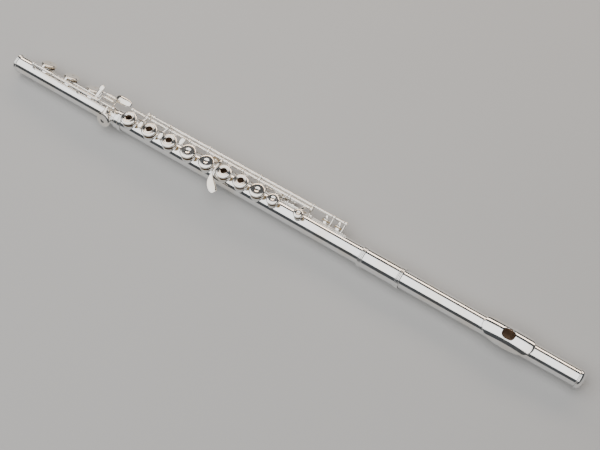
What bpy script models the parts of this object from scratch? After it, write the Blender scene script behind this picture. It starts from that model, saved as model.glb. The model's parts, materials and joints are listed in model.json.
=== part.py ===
"""Concert flute with a B foot, open-hole keys in line and a split lower end.

The model is laid out along the tube: x is the distance from the embouchure hole's centre towards the foot,
y points away from the player and z points up through the main row of keys.
An angle round the tube is measured from z towards the player, so a place is (x, angle, radius).
One parent empty then moves the whole flute so that the origin is the bottom centre of its bounding box.
"""

import math

import bmesh
import bpy
from mathutils import Matrix, Vector

MM = 0.001
WELD = 0.000001             # metres

# Driving dimensions, in millimetres and degrees.
GAP = 0.3                   # clearance between touching pieces
TUBE_R = 9.9                # body and foot tube, outside
TUBE_WALL = 0.6
HEAD_END_R = 9.0            # head tube at the crown, outside
TENON_X = 153.0             # inner end of the head tube
CROWN_X = -73.8             # rim of the crown
CROWN_R = 10.3
CROWN_DOME = 5.2
BARREL_X = (117.2, 165.7)   # both ends of the barrel
BARREL_R = 11.0
RING_R = 12.0
RING_WIDTH = 4.4
BODY_END_X = 488.0          # lower end of the body tube, inside the foot's socket
SOCKET_X = (479.0, 488.8)   # socket of the foot, whose tube starts where the body tube ends
SOCKET_R = 11.2
FOOT_END_X = 641.0
FOOT_RING_R = 11.0
FOOT_RING_WIDTH = 3.2

LIP_LENGTH = 54.0
LIP_WIDTH = 24.0            # across the tube
LIP_TOP_R = 13.3            # top of the lip plate over the tube's axis
LIP_END_R = 10.6
LIP_THICK = 0.9
LIP_SWEEP = 1.55            # half the angle that the plate wraps, in radians
HOLE_LENGTH = 12.2          # embouchure hole
HOLE_WIDTH = 10.2
RISER_WALL = 0.6
HEAD_END_X = CROWN_X + GAP
STOPPER_X = -17.3           # face of the stopper
STUD_R = 2.0
STUD_LENGTH = 50.0
CORK_LENGTH = 15.0

RIM_R = 12.3                # rim of each tone hole, from the tube's axis
CHIMNEY_WALL = 0.5
PAD_SEAT = 0.3              # left between a shut pad and the rim
PAD_THICK = 2.4
PAD_SHOWS = 0.9             # how far a pad stands out of its cup
CUP_WALL = 0.5
CUP_ROOF = 0.7
FINGER_HOLE_R = 3.0         # open hole in a finger key
GROMMET_R = 4.4

ROD_R = 1.0                 # steel rods
HINGE_R = 1.6               # hinge tubes, outside
HINGE_PLAY = 0.2            # between a rod and what turns on it
POST_HEAD_R = 2.1
POST_HEAD_HALF = 1.7        # half a post head's length along its rod
POST_STEM_R = 1.1
RIB_THICK = 1.0

MAIN_ROD = (-14.2, 9.8)     # y and z of each hinge line
TRILL_ROD = (-18.4, 10.0)
THUMB_ROD = (-14.2, 4.6)
FOOT_ROD = (-2.2, 15.8)
MAIN_RIB_ANGLE = (56.0, 65.0)
TRILL_RIB_ANGLE = (42.0, 51.0)
FOOT_RIB_ANGLE = (-5.4, 2.6)

MAIN_POSTS = (235.5, 263.0, 302.5, 323.7, 370.5, 395.5, 422.5, 455.5, 476.0)
TRILL_TUBE_POSTS = (235.5, 302.5, 370.5)    # main posts that also carry the D trill's tube
TRILL_STEEL_POST = 455.5                    # main post that ends the trill steel
TRILL_POSTS = (195.5, 209.7)
THUMB_POSTS = (256.5, 291.5)
FOOT_POSTS = (492.4, 546.0, 613.0)
SPLIT_POST = 370.5          # the left and right hand rods meet in this post

KEY_OPEN = 9.0              # how far a standing-open key is lifted
THUMB_OPEN = 12.0
FINGER_KEY_R = 9.1          # right hand cups
LEFT_KEY_R = 8.8            # left hand cups

SIDES = 16                  # facets round a cup
TUBE_SIDES = 28
HINGE_SIDES = 8

# name: (x of the tone hole, angle, cup radius, chimney bore, has a finger hole)
CUPS = {
    "d": (469.0, 0.0, FINGER_KEY_R, 7.4, True),
    "e": (440.0, 0.0, FINGER_KEY_R, 7.4, True),
    "f": (412.5, 0.0, FINGER_KEY_R, 7.4, True),
    "f_sharp": (386.3, 0.0, FINGER_KEY_R, 7.4, False),
    "lower_g": (361.5, 0.0, LEFT_KEY_R, 7.0, False),
    "upper_g": (338.2, 0.0, LEFT_KEY_R, 7.0, True),
    "a": (316.0, 0.0, LEFT_KEY_R, 7.0, True),
    "b_flat": (294.6, 0.0, LEFT_KEY_R, 7.0, False),
    "c": (274.5, 0.0, 7.0, 5.2, False),
    "c_sharp": (242.4, 0.0, 5.5, 3.6, False),
    "thumb_b": (272.5, 107.0, 7.0, 5.6, False),
    "g_sharp": (361.5, 106.0, 7.4, 5.9, False),
    "d_trill": (217.1, 80.0, 5.2, 3.6, False),
    "d_sharp_trill": (201.7, 80.0, 5.2, 3.6, False),
    "foot_d_sharp": (498.8, -58.0, 9.0, 7.5, False),
    "foot_c_sharp": (531.7, 56.0, 9.1, 7.6, False),
    "foot_c": (566.0, 56.0, 9.1, 7.6, False),
    "foot_b": (600.5, 56.0, 9.1, 7.6, False),
}
BODY_CUPS = [name for name in CUPS if not name.startswith("foot_")]
FOOT_CUPS = [name for name in CUPS if name.startswith("foot_")]

SILVER = ("silver", (0.86, 0.86, 0.87, 1), 0.12, 1.0)
STEEL = ("steel", (0.62, 0.62, 0.64, 1), 0.25, 1.0)
PAD_SKIN = ("pad_skin", (0.78, 0.62, 0.38, 1), 0.55, 0.0)
CORK = ("cork", (0.58, 0.38, 0.2, 1), 0.85, 0.0)


# Helpers

def clear_scene():
    for obj in list(bpy.data.objects):
        bpy.data.objects.remove(obj, do_unlink=True)


def material(name, colour, roughness, metallic):
    found = bpy.data.materials.get(name)
    if found:
        return found
    made = bpy.data.materials.new(name)
    made.use_nodes = True
    shader = made.node_tree.nodes["Principled BSDF"]
    shader.inputs["Base Color"].default_value = colour
    shader.inputs["Roughness"].default_value = roughness
    shader.inputs["Metallic"].default_value = metallic
    return made


def collection(name):
    made = bpy.data.collections.new(name)
    bpy.context.scene.collection.children.link(made)
    return made


def empty(name, parent=None, place=(0, 0, 0), turn=0.0):
    made = bpy.data.objects.new(name, None)
    made.parent = parent
    made.location = Vector(place) * MM
    made.rotation_euler = (math.radians(turn), 0, 0)
    FLUTE.objects.link(made)
    return made


def ring_point(x, angle, radius):
    """The point at this station, angle and radius, in millimetres."""
    a = math.radians(angle)
    return Vector((x, -radius * math.sin(a), radius * math.cos(a)))


def outward(x, angle):
    """A frame at the tube's axis whose z runs out through this angle and whose x runs along the tube."""
    return Matrix.Translation(Vector((x, 0, 0)) * MM) @ Matrix.Rotation(math.radians(angle), 4, "X")


def new_object(name, mesh):
    obj = bpy.data.objects.new(name, mesh)
    FLUTE.objects.link(obj)
    return obj


def evaluated(obj):
    """The object's mesh with its modifiers, in the space of its parent."""
    bpy.context.view_layer.update()
    graph = bpy.context.evaluated_depsgraph_get()
    mesh = bpy.data.meshes.new_from_object(obj.evaluated_get(graph))
    mesh.transform(obj.matrix_world)
    return mesh


def weld(mesh):
    work = bmesh.new()
    work.from_mesh(mesh)
    bmesh.ops.remove_doubles(work, verts=work.verts, dist=WELD)
    bmesh.ops.recalc_face_normals(work, faces=work.faces)
    work.to_mesh(mesh)
    work.free()
    return mesh


def drop(*objects):
    for obj in objects:
        bpy.data.objects.remove(obj, do_unlink=True)


def turned(profile, sides=SIDES, closed=True, frame=None):
    """A turned solid about z from (radius, height) points in millimetres, down its outer side first."""
    mesh = bpy.data.meshes.new("profile")
    points = [(r * MM, 0, h * MM) for r, h in profile]
    count = len(points)
    edges = [(i, i + 1) for i in range(count - 1)]
    if closed:
        edges.append((count - 1, 0))
    mesh.from_pydata(points, edges, [])
    obj = new_object("turned", mesh)
    screw = obj.modifiers.new("Screw", "SCREW")
    screw.steps = screw.render_steps = sides
    screw.use_merge_vertices = True
    screw.merge_threshold = 0.00001
    screw.use_smooth_shade = False
    made = weld(evaluated(obj))
    drop(obj)
    if frame:
        made.transform(frame)
    return new_object("turned", made)


def along_x(place):
    """A frame at this place in millimetres whose z runs along the tube."""
    return Matrix.Translation(Vector(place) * MM) @ Matrix.Rotation(math.radians(90), 4, "Y")


def hollow(x0, x1, outer, inner, line=(0, 0), sides=HINGE_SIDES):
    """A plain tube along x between two stations on a hinge line."""
    profile = [(outer, x1), (outer, x0), (inner, x0), (inner, x1)]
    return turned(profile, sides, True, along_x((0, *line)))


def solid_rod(x0, x1, radius, line=(0, 0), sides=HINGE_SIDES):
    return turned([(0, x1), (radius, x1), (radius, x0), (0, x0)], sides, False, along_x((0, *line)))


def bar(start, end, width, thick):
    """A box from start to end, in millimetres: width lies along the tube where it can."""
    start, end = Vector(start), Vector(end)
    run = end - start
    run_z = run.normalized()
    side = Vector((1, 0, 0)) if abs(run_z.x) < 0.9 else Vector((0, 1, 0))
    run_y = run_z.cross(side).normalized()
    run_x = run_y.cross(run_z)
    work = bmesh.new()
    bmesh.ops.create_cube(work, size=1.0)
    mesh = bpy.data.meshes.new("bar")
    work.to_mesh(mesh)
    work.free()
    scale = Matrix.Diagonal((width * MM, thick * MM, run.length * MM, 1))
    turn = Matrix((run_x, run_y, run_z)).transposed().to_4x4()
    mesh.transform(Matrix.Translation((start + end) / 2 * MM) @ turn @ scale)
    return new_object("bar", mesh)


def wire(points, radius, sides=8):
    """A round bar through these points, in millimetres."""
    curve = bpy.data.curves.new("wire", "CURVE")
    curve.dimensions = "3D"
    curve.bevel_depth = radius * MM
    curve.bevel_resolution = max(0, sides // 4 - 1)
    curve.use_fill_caps = True
    line = curve.splines.new("POLY")
    line.points.add(len(points) - 1)
    for point, place in zip(line.points, points):
        point.co = (*(Vector(place) * MM), 1)
    obj = new_object("wire", curve)
    made = weld(evaluated(obj))
    drop(obj)
    return new_object("wire", made)


def paddle(x, y, z, length, width, thick, slope=0.0, turn=0.0):
    """A rounded touch plate centred on a point, its long side along the tube before it is turned."""
    work = bmesh.new()
    bmesh.ops.create_cone(work, cap_ends=True, segments=12, radius1=0.5, radius2=0.5, depth=1.0)
    mesh = bpy.data.meshes.new("paddle")
    work.to_mesh(mesh)
    work.free()
    mesh.transform(Matrix.Diagonal((length * MM, width * MM, thick * MM, 1)))
    mesh.transform(Matrix.Rotation(math.radians(slope), 4, "X") @ Matrix.Rotation(math.radians(turn), 4, "Z"))
    mesh.transform(Matrix.Translation(Vector((x, y, z)) * MM))
    return new_object("paddle", mesh)


def combine(name, look, parent, first, joined=(), cut=(), origin=None):
    """One solid from the first piece, with others joined to it and cutters taken away."""
    groups = []
    for others, operation in ((joined, "UNION"), (cut, "DIFFERENCE")):
        if not others:
            continue
        group = bpy.data.collections.new(operation)
        groups.append(group)
        for other in others:
            group.objects.link(other)
        modifier = first.modifiers.new("Boolean", "BOOLEAN")
        modifier.operation = operation
        modifier.operand_type = "COLLECTION"
        modifier.collection = group
        modifier.solver = "EXACT"
        modifier.use_self = True
    mesh = weld(evaluated(first)) if joined or cut else evaluated(first)
    drop(first, *joined, *cut)
    for group in groups:
        bpy.data.collections.remove(group)
    if origin:
        mesh.transform(Matrix.Translation(Vector(origin) * -MM))
    mesh.name = name
    mesh.materials.clear()
    mesh.materials.append(material(*look))
    mesh.shade_smooth()
    mesh.set_sharp_from_angle(angle=math.radians(30))
    obj = new_object(name, mesh)
    obj.parent = parent
    return obj


# Tubes

def chimneys(names):
    """(walls, bores) of the tone holes: short tubes that stand on the tube, and the cutters that open them."""
    walls, bores = [], []
    for name in names:
        x, angle, _, bore, _ = CUPS[name]
        frame = outward(x, angle)
        outer = bore + CHIMNEY_WALL
        inside = TUBE_R - TUBE_WALL / 2
        depth = math.sqrt(inside ** 2 - outer ** 2)
        walls.append(turned([(0, RIM_R), (outer, RIM_R), (outer, depth), (0, depth)], SIDES, False, frame))
        bores.append(turned([(0, RIM_R + 2), (bore, RIM_R + 2), (bore, 1), (0, 1)], SIDES, False, frame))
    return walls, bores


def tube_with_holes(name, parent, x0, x1, names, extra=()):
    """A tube with its tone holes. The chimneys are joined solid, then the bore is cleared and each hole is cut."""
    walls, bores = chimneys(names)
    blank = turned([(0, x1), (TUBE_R, x1), (TUBE_R, x0), (0, x0)], TUBE_SIDES, False, along_x((0, 0, 0)))
    inner = TUBE_R - TUBE_WALL
    clear = turned([(0, x1 + 5), (inner, x1 + 5), (inner, x0 - 5), (0, x0 - 5)], TUBE_SIDES, False,
                   along_x((0, 0, 0)))
    return combine(name, SILVER, parent, blank, [*walls, *extra], [clear, *bores])


def embouchure_oval(length, width, low, high):
    """An upright oval plug at the embouchure hole."""
    plug = turned([(0, high), (0.5, high), (0.5, low), (0, low)], 20, False)
    plug.data.transform(Matrix.Diagonal((length, width, 1, 1)) @ Matrix.Rotation(math.radians(9), 4, "Z"))
    return plug


def head_tube(parent):
    """The head tube narrows towards the crown."""
    steps = 6
    inside = TUBE_WALL
    outer = []
    for step in range(steps + 1):
        share = step / steps
        x = TENON_X + (HEAD_END_X - TENON_X) * share
        outer.append((TUBE_R - (TUBE_R - HEAD_END_R) * share ** 1.5, x))
    inner = [(r - inside, x) for r, x in reversed(outer)]
    blank = turned(outer + inner, TUBE_SIDES, True, along_x((0, 0, 0)))
    opening = embouchure_oval(HOLE_LENGTH + 2 * (RISER_WALL + GAP), HOLE_WIDTH + 2 * (RISER_WALL + GAP), 4, 20)
    return combine("head_tube", SILVER, parent, blank, (), [opening])


def head_outer(x):
    """Outer radius of the head tube at a station."""
    share = (TENON_X - x) / (TENON_X - HEAD_END_X)
    return TUBE_R - (TUBE_R - HEAD_END_R) * share ** 1.5


def lip_sheet(thick, offset):
    """The saddle of the lip plate as a solid of this thickness, set below or above its top face."""
    work = bmesh.new()
    bmesh.ops.create_grid(work, x_segments=12, y_segments=10, size=1.0)
    for vert in work.verts:
        u, v = vert.co.x, vert.co.y
        x = u * math.sqrt(1 - 0.3 * v * v) * LIP_LENGTH / 2
        across = v * math.sqrt(1 - 0.3 * u * u)
        rise = max(0.0, math.cos(u * math.pi / 2)) ** 0.8
        top = LIP_END_R + (LIP_TOP_R - LIP_END_R) * rise
        angle = across * LIP_SWEEP
        vert.co = Vector((x, math.sin(angle) * LIP_WIDTH / 2, math.cos(angle) * top)) * MM
    mesh = bpy.data.meshes.new("lip")
    work.to_mesh(mesh)
    work.free()
    sheet = new_object("lip", mesh)
    shell = sheet.modifiers.new("Solidify", "SOLIDIFY")
    shell.thickness = thick * MM
    shell.offset = offset
    made = weld(evaluated(sheet))
    drop(sheet)
    return new_object("lip", made)


def lip_plate(parent):
    """A saddle-shaped plate over the embouchure hole, with rounded corners."""
    opening = embouchure_oval(HOLE_LENGTH, HOLE_WIDTH, 6, 20)
    combine("lip_plate", SILVER, parent, lip_sheet(LIP_THICK, -1), (), [opening])


def riser(parent):
    """The chimney under the lip plate: its top follows the plate, a gap below it."""
    outer = embouchure_oval(HOLE_LENGTH + 2 * RISER_WALL, HOLE_WIDTH + 2 * RISER_WALL, HEAD_END_R - 1.2, LIP_TOP_R)
    below = LIP_THICK + GAP
    thick = below + 3.0
    roof = lip_sheet(thick, 1 - 2 * below / thick)
    combine("riser", SILVER, parent, outer, (), [embouchure_oval(HOLE_LENGTH, HOLE_WIDTH, 6, 20), roof])


def ring_profile(x0, x1, radius, base):
    """Two beads on a band, seen from the side, from x1 back to x0."""
    width = x1 - x0
    return [(base, x1), (radius - 0.3, x1), (radius, x1 - 0.2 * width), (radius - 0.5, x1 - 0.4 * width),
            (radius - 0.5, x1 - 0.6 * width), (radius, x1 - 0.8 * width), (radius - 0.3, x0), (base, x0)]


def barrel(parent):
    x0, x1 = BARREL_X
    inner = TUBE_R + GAP
    profile = ring_profile(x1 - RING_WIDTH, x1, RING_R, inner)[:-1] + [(BARREL_R, x1 - RING_WIDTH)]
    profile += [(BARREL_R, x0 + RING_WIDTH)] + ring_profile(x0, x0 + RING_WIDTH, RING_R, inner)[1:]
    return combine("barrel", SILVER, parent, turned(profile, TUBE_SIDES, True, along_x((0, 0, 0))))


def crown(parent, x):
    inside = HEAD_END_R - TUBE_WALL - GAP
    dome = [(CROWN_R * math.sin(a), x - 1.2 - CROWN_DOME * math.cos(a)) for a in
            [math.radians(d) for d in (72, 54, 36, 18)]]
    bore = STUD_R + GAP
    profile = [(inside, x + 6), (inside, x), (CROWN_R, x), (CROWN_R, x - 1.2), *dome,
               (0, x - 1.2 - CROWN_DOME), (0, x - 1.5), (bore, x - 1.5), (bore, x + 6)]
    return combine("crown", SILVER, parent, turned(profile, 24, True, along_x((0, 0, 0))))


def stopper(parent):
    """Reflector plate with its threaded stud, the cork on the stud and the nut that squeezes the cork."""
    face, plate = STOPPER_X, 1.6
    plate_r = head_outer(face - 5) - TUBE_WALL - GAP
    cork_far = face - plate - GAP - CORK_LENGTH
    stud = [(0, face), (plate_r, face), (plate_r, face - plate), (STUD_R, face - plate),
            (STUD_R, face - plate - STUD_LENGTH), (0, face - plate - STUD_LENGTH)]
    combine("stopper_plate", STEEL, parent, turned(stud, 20, False, along_x((0, 0, 0))))
    cork_r = head_outer(cork_far) - TUBE_WALL - GAP
    combine("stopper_cork", CORK, parent,
            hollow(cork_far, face - plate - GAP, cork_r, STUD_R + GAP, (0, 0), 20))
    combine("stopper_nut", STEEL, parent,
            hollow(cork_far - GAP - 2.5, cork_far - GAP, cork_r - 1.2, STUD_R + GAP, (0, 0), 20))


def foot_ring():
    x1 = FOOT_END_X
    profile = ring_profile(x1 - FOOT_RING_WIDTH, x1, FOOT_RING_R, TUBE_R - TUBE_WALL / 2)
    return turned(profile, TUBE_SIDES, True, along_x((0, 0, 0)))


def foot_tube(parent):
    x0, x1 = SOCKET_X
    inner = TUBE_R + GAP
    neck = TUBE_R - TUBE_WALL / 2
    profile = [(neck, x1 + 1.2), (SOCKET_R, x1), (SOCKET_R, x0 + 1.6), (SOCKET_R + 0.5, x0 + 1.0),
               (SOCKET_R + 0.4, x0), (inner, x0), (inner, x1 - 0.6), (neck, x1 - 0.6)]
    socket = turned(profile, TUBE_SIDES, True, along_x((0, 0, 0)))
    return tube_with_holes("foot_tube", parent, x1 - 0.5, FOOT_END_X, FOOT_CUPS, [socket, foot_ring()])


# Ribs, posts and rods

def rib_bar(x0, x1, angles):
    """A strap that lies just off the tube between two angles."""
    low, high = TUBE_R + GAP, TUBE_R + GAP + RIB_THICK
    steps = 2
    work = bmesh.new()
    turns = [angles[0] + (angles[1] - angles[0]) * i / steps for i in range(steps + 1)]
    section = [(a, high) for a in turns] + [(a, low) for a in reversed(turns)]
    ends = [[work.verts.new(ring_point(x, a, r) * MM) for a, r in section] for x in (x0, x1)]
    work.faces.new(ends[0])
    work.faces.new(list(reversed(ends[1])))
    count = len(section)
    for i in range(count):
        work.faces.new((ends[0][i], ends[1][i], ends[1][(i + 1) % count], ends[0][(i + 1) % count]))
    bmesh.ops.recalc_face_normals(work, faces=work.faces)
    mesh = bpy.data.meshes.new("rib")
    work.to_mesh(mesh)
    work.free()
    return new_object("rib", mesh)


def post(x, foot_angle, line, bore):
    """(solids, cutter) of one post: a stem from the rib and a round head that the rod passes through."""
    base = ring_point(x, foot_angle, TUBE_R + GAP + 0.6 * RIB_THICK)
    head = Vector((x, *line))
    run = head - base
    turn = run.to_track_quat("Z", "Y").to_matrix().to_4x4()
    stem = turned([(0, run.length), (POST_STEM_R, run.length), (POST_STEM_R, 0), (0, 0)], 8, False,
                  Matrix.Translation(base * MM) @ turn)
    outer = max(POST_HEAD_R, bore + 0.7)
    knob = turned([(0, POST_HEAD_HALF), (outer - 0.5, POST_HEAD_HALF), (outer, 0.9), (outer, -0.9),
                   (outer - 0.5, -POST_HEAD_HALF), (0, -POST_HEAD_HALF)], HINGE_SIDES, False, along_x(head))
    cutter = solid_rod(x - 4, x + 4, bore, line)
    return [stem, knob], cutter


def trill_head(x, bore):
    """A second head beside a main post's head, for the trill line."""
    outer = bore + 0.7
    half = POST_HEAD_HALF - 0.5
    profile = [(0, half), (outer, half), (outer, -half), (0, -half)]
    knob = turned(profile, HINGE_SIDES, False, along_x((x, *TRILL_ROD)))
    web = bar((x, *MAIN_ROD), (x, *TRILL_ROD), 2 * half - 0.7, 2.4)
    return [knob, web], solid_rod(x - 4, x + 4, bore, TRILL_ROD)


def rib_with_posts(name, parent, ends, angles, stations, heads=()):
    """One rib; stations pairs each post's place along the tube with its hinge line."""
    foot_angle = sum(angles) / 2
    solids, cutters = [], []
    for x, line in stations:
        made, cutter = post(x, foot_angle, line, ROD_R + HINGE_PLAY)
        solids += made
        cutters.append(cutter)
    for x, bore in heads:
        made, cutter = trill_head(x, bore)
        solids += made
        cutters.append(cutter)
    return combine(name, SILVER, parent, rib_bar(*ends, angles), solids, cutters)


# Keys

def cup_frame(name):
    x, angle, *_ = CUPS[name]
    return outward(x, angle)


def cup_heights():
    """Edge, inside roof and top of every cup, out from the tube's axis."""
    low = RIM_R + PAD_SEAT + PAD_SHOWS
    roof = RIM_R + PAD_SEAT + PAD_THICK + GAP
    return low, roof, roof + CUP_ROOF


def cup_solid(name):
    """The shut cup before it is hollowed: a cap, or a ring with a raised grommet round its finger hole."""
    _, _, radius, _, finger_hole = CUPS[name]
    low, _, top = cup_heights()
    shoulder = [(radius - 0.9, top - 0.1), (radius, top - 0.7), (radius, low)]
    if finger_hole:
        grommet = [(FINGER_HOLE_R, low), (FINGER_HOLE_R, top - 0.2), (GROMMET_R, top + 0.25)]
        return turned([(GROMMET_R + 1.2, top), *shoulder, *grommet], SIDES, True, cup_frame(name))
    return turned([(0, top + 0.2), (radius * 0.45, top + 0.25), *shoulder, (0, low)], SIDES, False, cup_frame(name))


def pad_room(name):
    """The cutter for the room that the pad fills, down to the rim."""
    _, _, radius, _, finger_hole = CUPS[name]
    roof, low = cup_heights()[1], RIM_R + PAD_SEAT - GAP
    outer, inner = radius - CUP_WALL, FINGER_HOLE_R + CUP_WALL
    if finger_hole:
        return turned([(outer, roof), (outer, low), (inner, low), (inner, roof)], SIDES, True, cup_frame(name))
    return turned([(0, roof), (outer, roof), (outer, low), (0, low)], SIDES, False, cup_frame(name))


def pad(name, parent, origin):
    """The pad inside a cup: a disc, or a ring where the cup has a finger hole."""
    _, _, radius, _, finger_hole = CUPS[name]
    low = RIM_R + PAD_SEAT
    outer = radius - CUP_WALL - GAP
    high = low + PAD_THICK
    if finger_hole:
        inner = FINGER_HOLE_R + CUP_WALL + GAP
        profile = [(outer, high), (outer, low), (inner, low), (inner, high)]
        made = turned(profile, SIDES, True, cup_frame(name))
    else:
        profile = [(0, high), (outer, high), (outer, low), (0, low)]
        made = turned(profile, SIDES, False, cup_frame(name))
    return combine(name + "_pad", PAD_SKIN, parent, made, origin=origin)


def cup_side(name, toward):
    """A point in the cup's side wall, on the side that faces a hinge line."""
    x, angle, radius, *_ = CUPS[name]
    height = cup_heights()[1] - 0.3
    centre = ring_point(x, angle, height)
    a = math.radians(angle)
    tangent = Vector((0, -math.cos(a), -math.sin(a)))
    to_line = Vector((x, *toward)) - centre
    side = 1 if tangent.dot(to_line) > 0 else -1
    return centre + tangent * side * (radius - CUP_WALL / 2)


def key(name, parent, line, span, turn=0.0, extra=(), arm_x=None, route=None):
    """A key with its pad: cup, arm and hinge tube as one piece on a hinge empty, turned to where it rests."""
    origin = (sum(span) / 2, *line)
    hinge = empty(name + "_hinge", parent, origin, turn)
    tube = solid_rod(*span, HINGE_R, line)
    bore = solid_rod(span[0] - 1, span[1] + 1, ROD_R + HINGE_PLAY, line)
    arm_x = CUPS[name][0] if arm_x is None else arm_x
    end = cup_side(name, line)
    start = Vector((arm_x, *line))
    start += (end - start).normalized() * (HINGE_R - 0.1)
    arm = route or bar(start, end, 3.4, 1.5)
    joined = [tube, arm, *extra]
    combine(name + "_key", SILVER, hinge, cup_solid(name), joined, [pad_room(name), bore], origin)
    pad(name, hinge, origin)
    return hinge


def lever(name, parent, line, span, turn, solids):
    """A lever with no cup: a hinge tube with arms and touches."""
    origin = (sum(span) / 2, *line)
    hinge = empty(name + "_hinge", parent, origin, turn)
    tube = solid_rod(*span, HINGE_R, line)
    bore = solid_rod(span[0] - 1, span[1] + 1, ROD_R + HINGE_PLAY, line)
    combine(name, SILVER, hinge, tube, solids, [bore], origin)
    return hinge


def main_keys(body):
    """The row of keys on top. Each rests open on the main rod."""
    spans = {
        "c_sharp": (237.5, 261.0), "c": (265.0, 283.6), "b_flat": (283.9, 300.5), "a": (304.5, 321.7),
        "upper_g": (325.7, 343.2), "lower_g": (355.0, 368.5), "f_sharp": (372.5, 393.5), "f": (402.6, 420.5),
        "e": (424.5, 453.5), "d": (457.5, 474.0),
    }
    for name, span in spans.items():
        key(name, body, MAIN_ROD, span, KEY_OPEN)


def g_sharp_key(body):
    """Closed key: the touch lies on the far side of the tube and the cup hangs below the main rod."""
    x = 349.8
    y, z = MAIN_ROD
    arm = wire([(x, y, z), (x, -9.0, z + 3.0), (x, 0.0, z + 3.2), (x, 5.0, z + 2.7), (x - 2.6, 10.5, z + 1.1)], 0.9)
    touch = paddle(341.8, 15.6, 10.8, 25.0, 9.0, 1.4, 0.0, -45.0)
    down = wire([(352.6, y, z), (353.2, -15.4, 6.2), (357.6, -16.2, 3.8), (361.5, -15.9, 2.0)], 0.9)
    key("g_sharp", body, MAIN_ROD, (343.5, 354.7), 0.0, [touch, down], route=arm)


def trill_keys(body):
    """The D trill turns on a tube, and the D sharp trill is the steel inside it."""
    y, z = TRILL_ROD
    key("d_trill", body, TRILL_ROD, (212.0, 428.6), 0.0, trill_touch(426.3), arm_x=217.1)
    name, span = "d_sharp_trill", (193.2, 457.6)
    origin = (sum(span) / 2, *TRILL_ROD)
    hinge = empty(name + "_hinge", body, origin)
    steel = solid_rod(*span, ROD_R, TRILL_ROD)
    end = cup_side(name, TRILL_ROD)
    arm = bar(Vector((201.7, y, z)), end, 3.4, 1.5)
    hubs = [solid_rod(197.6, 207.3, HINGE_R, TRILL_ROD), solid_rod(446.8, 453.4, HINGE_R, TRILL_ROD)]
    joined = [steel, *hubs, arm, *trill_touch(454.5)]
    combine(name + "_key", SILVER, hinge, cup_solid(name), joined, [pad_room(name)], origin)
    pad(name, hinge, origin)


def trill_touch(x):
    """A touch between two finger keys, reached over the main rod."""
    y, z = TRILL_ROD
    base = x - 2.5
    arm = wire([(base, y, z), (base, y + 1.5, z + 3.4), (base, y + 5.5, z + 4.4), (x, -7.0, z + 3.6)], 0.9)
    return [arm, paddle(x, -3.4, z + 3.3, 4.6, 10.5, 1.3, -4.0)]


def thumb_keys(body):
    key("thumb_b", body, THUMB_ROD, (264.6, 289.5), -THUMB_OPEN, thumb_touch(281.5, 6.0))
    lever("thumb_b_flat_lever", body, THUMB_ROD, (258.5, 264.3), -THUMB_OPEN, thumb_touch(261.6, 4.8))


def thumb_touch(x, length):
    y, z = THUMB_ROD
    plate = bar((x, y - 1.6, z - 3.0), (x, y - 1.6, z - 17.0), length, 1.3)
    return [bar((x, y, z), (x, y - 1.6, z - 4.4), 3.2, 1.4), plate]


def side_lever(body):
    """The right hand's B flat touch, beside the F key."""
    y, z = MAIN_ROD
    x = 399.8
    arm = bar((x, y, z), (x, y + 3.4, z + 5.8), 2.6, 1.3)
    touch = paddle(x, y + 6.0, z + 6.0, 5.8, 10.0, 1.3)
    lever("b_flat_side_lever", body, MAIN_ROD, (397.5, 402.2), 0.0, [arm, touch])


def foot_keys(foot):
    y, z = FOOT_ROD
    key("foot_d_sharp", foot, FOOT_ROD, (494.4, 510.7), 0.0, d_sharp_touch(), arm_x=500.0)
    x = 519.2
    touch = [bar((x, y, z), (x, y - 13.5, z + 0.4), 4.6, 1.5), paddle(x, y - 14.0, z + 0.5, 6.4, 7.0, 1.6)]
    key("foot_c_sharp", foot, FOOT_ROD, (511.0, 544.0), -KEY_OPEN, touch)
    key("foot_c", foot, FOOT_ROD, (548.0, 580.0), -KEY_OPEN, roller_lever(553.0, -4.6, 513.7, C_ROLLER))
    key("foot_b", foot, FOOT_ROD, (580.3, 611.0), -KEY_OPEN, roller_lever(584.0, -0.9, 511.2, B_ROLLER))


C_ROLLER = (-12.6, 18.0)
B_ROLLER = (-8.2, 18.2)
ROLLER_X = (495.6, 509.6)
ROLLER_R = 1.7
PIN_R = 0.6
LEVER_Z = 20.1


def roller_lever(start_x, lane_y, turn_x, roller):
    """A long arm that rises from the hinge tube, runs beside the rod and ends in the pin of a roller."""
    y, z = FOOT_ROD
    points = [(start_x, y, z), (start_x - 2, lane_y, LEVER_Z), (turn_x + 1.5, lane_y, LEVER_Z),
              (turn_x, lane_y - 1.2, LEVER_Z), (turn_x, roller[0], roller[1])]
    return [wire(points, 0.9), solid_rod(ROLLER_X[0] - 1.2, turn_x + 0.5, PIN_R, roller, 8)]


def d_sharp_touch():
    """The little finger's plate, on the player's side of the rod."""
    y, z = FOOT_ROD
    x = 496.8
    arm = wire([(x, y, z), (x, y - 2.0, z - 2.6), (x, -11.4, z - 3.0), (x - 1.0, -14.0, z - 2.2)], 0.9)
    return [arm, paddle(489.2, -16.4, z - 1.7, 22.0, 9.6, 1.8, -4.0)]


def rollers():
    """Each roller turns on a pin of its own key."""
    for name, line in (("foot_c", C_ROLLER), ("foot_b", B_ROLLER)):
        hinge = bpy.data.objects[name + "_hinge"]
        origin = (sum(ROLLER_X) / 2, *line)
        hub = empty(name + "_roller_axle", hinge, Vector(origin) - hinge.location / MM)
        combine(name + "_roller", SILVER, hub, hollow(*ROLLER_X, ROLLER_R, PIN_R + GAP, line, 12), origin=origin)


# Assembly

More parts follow.
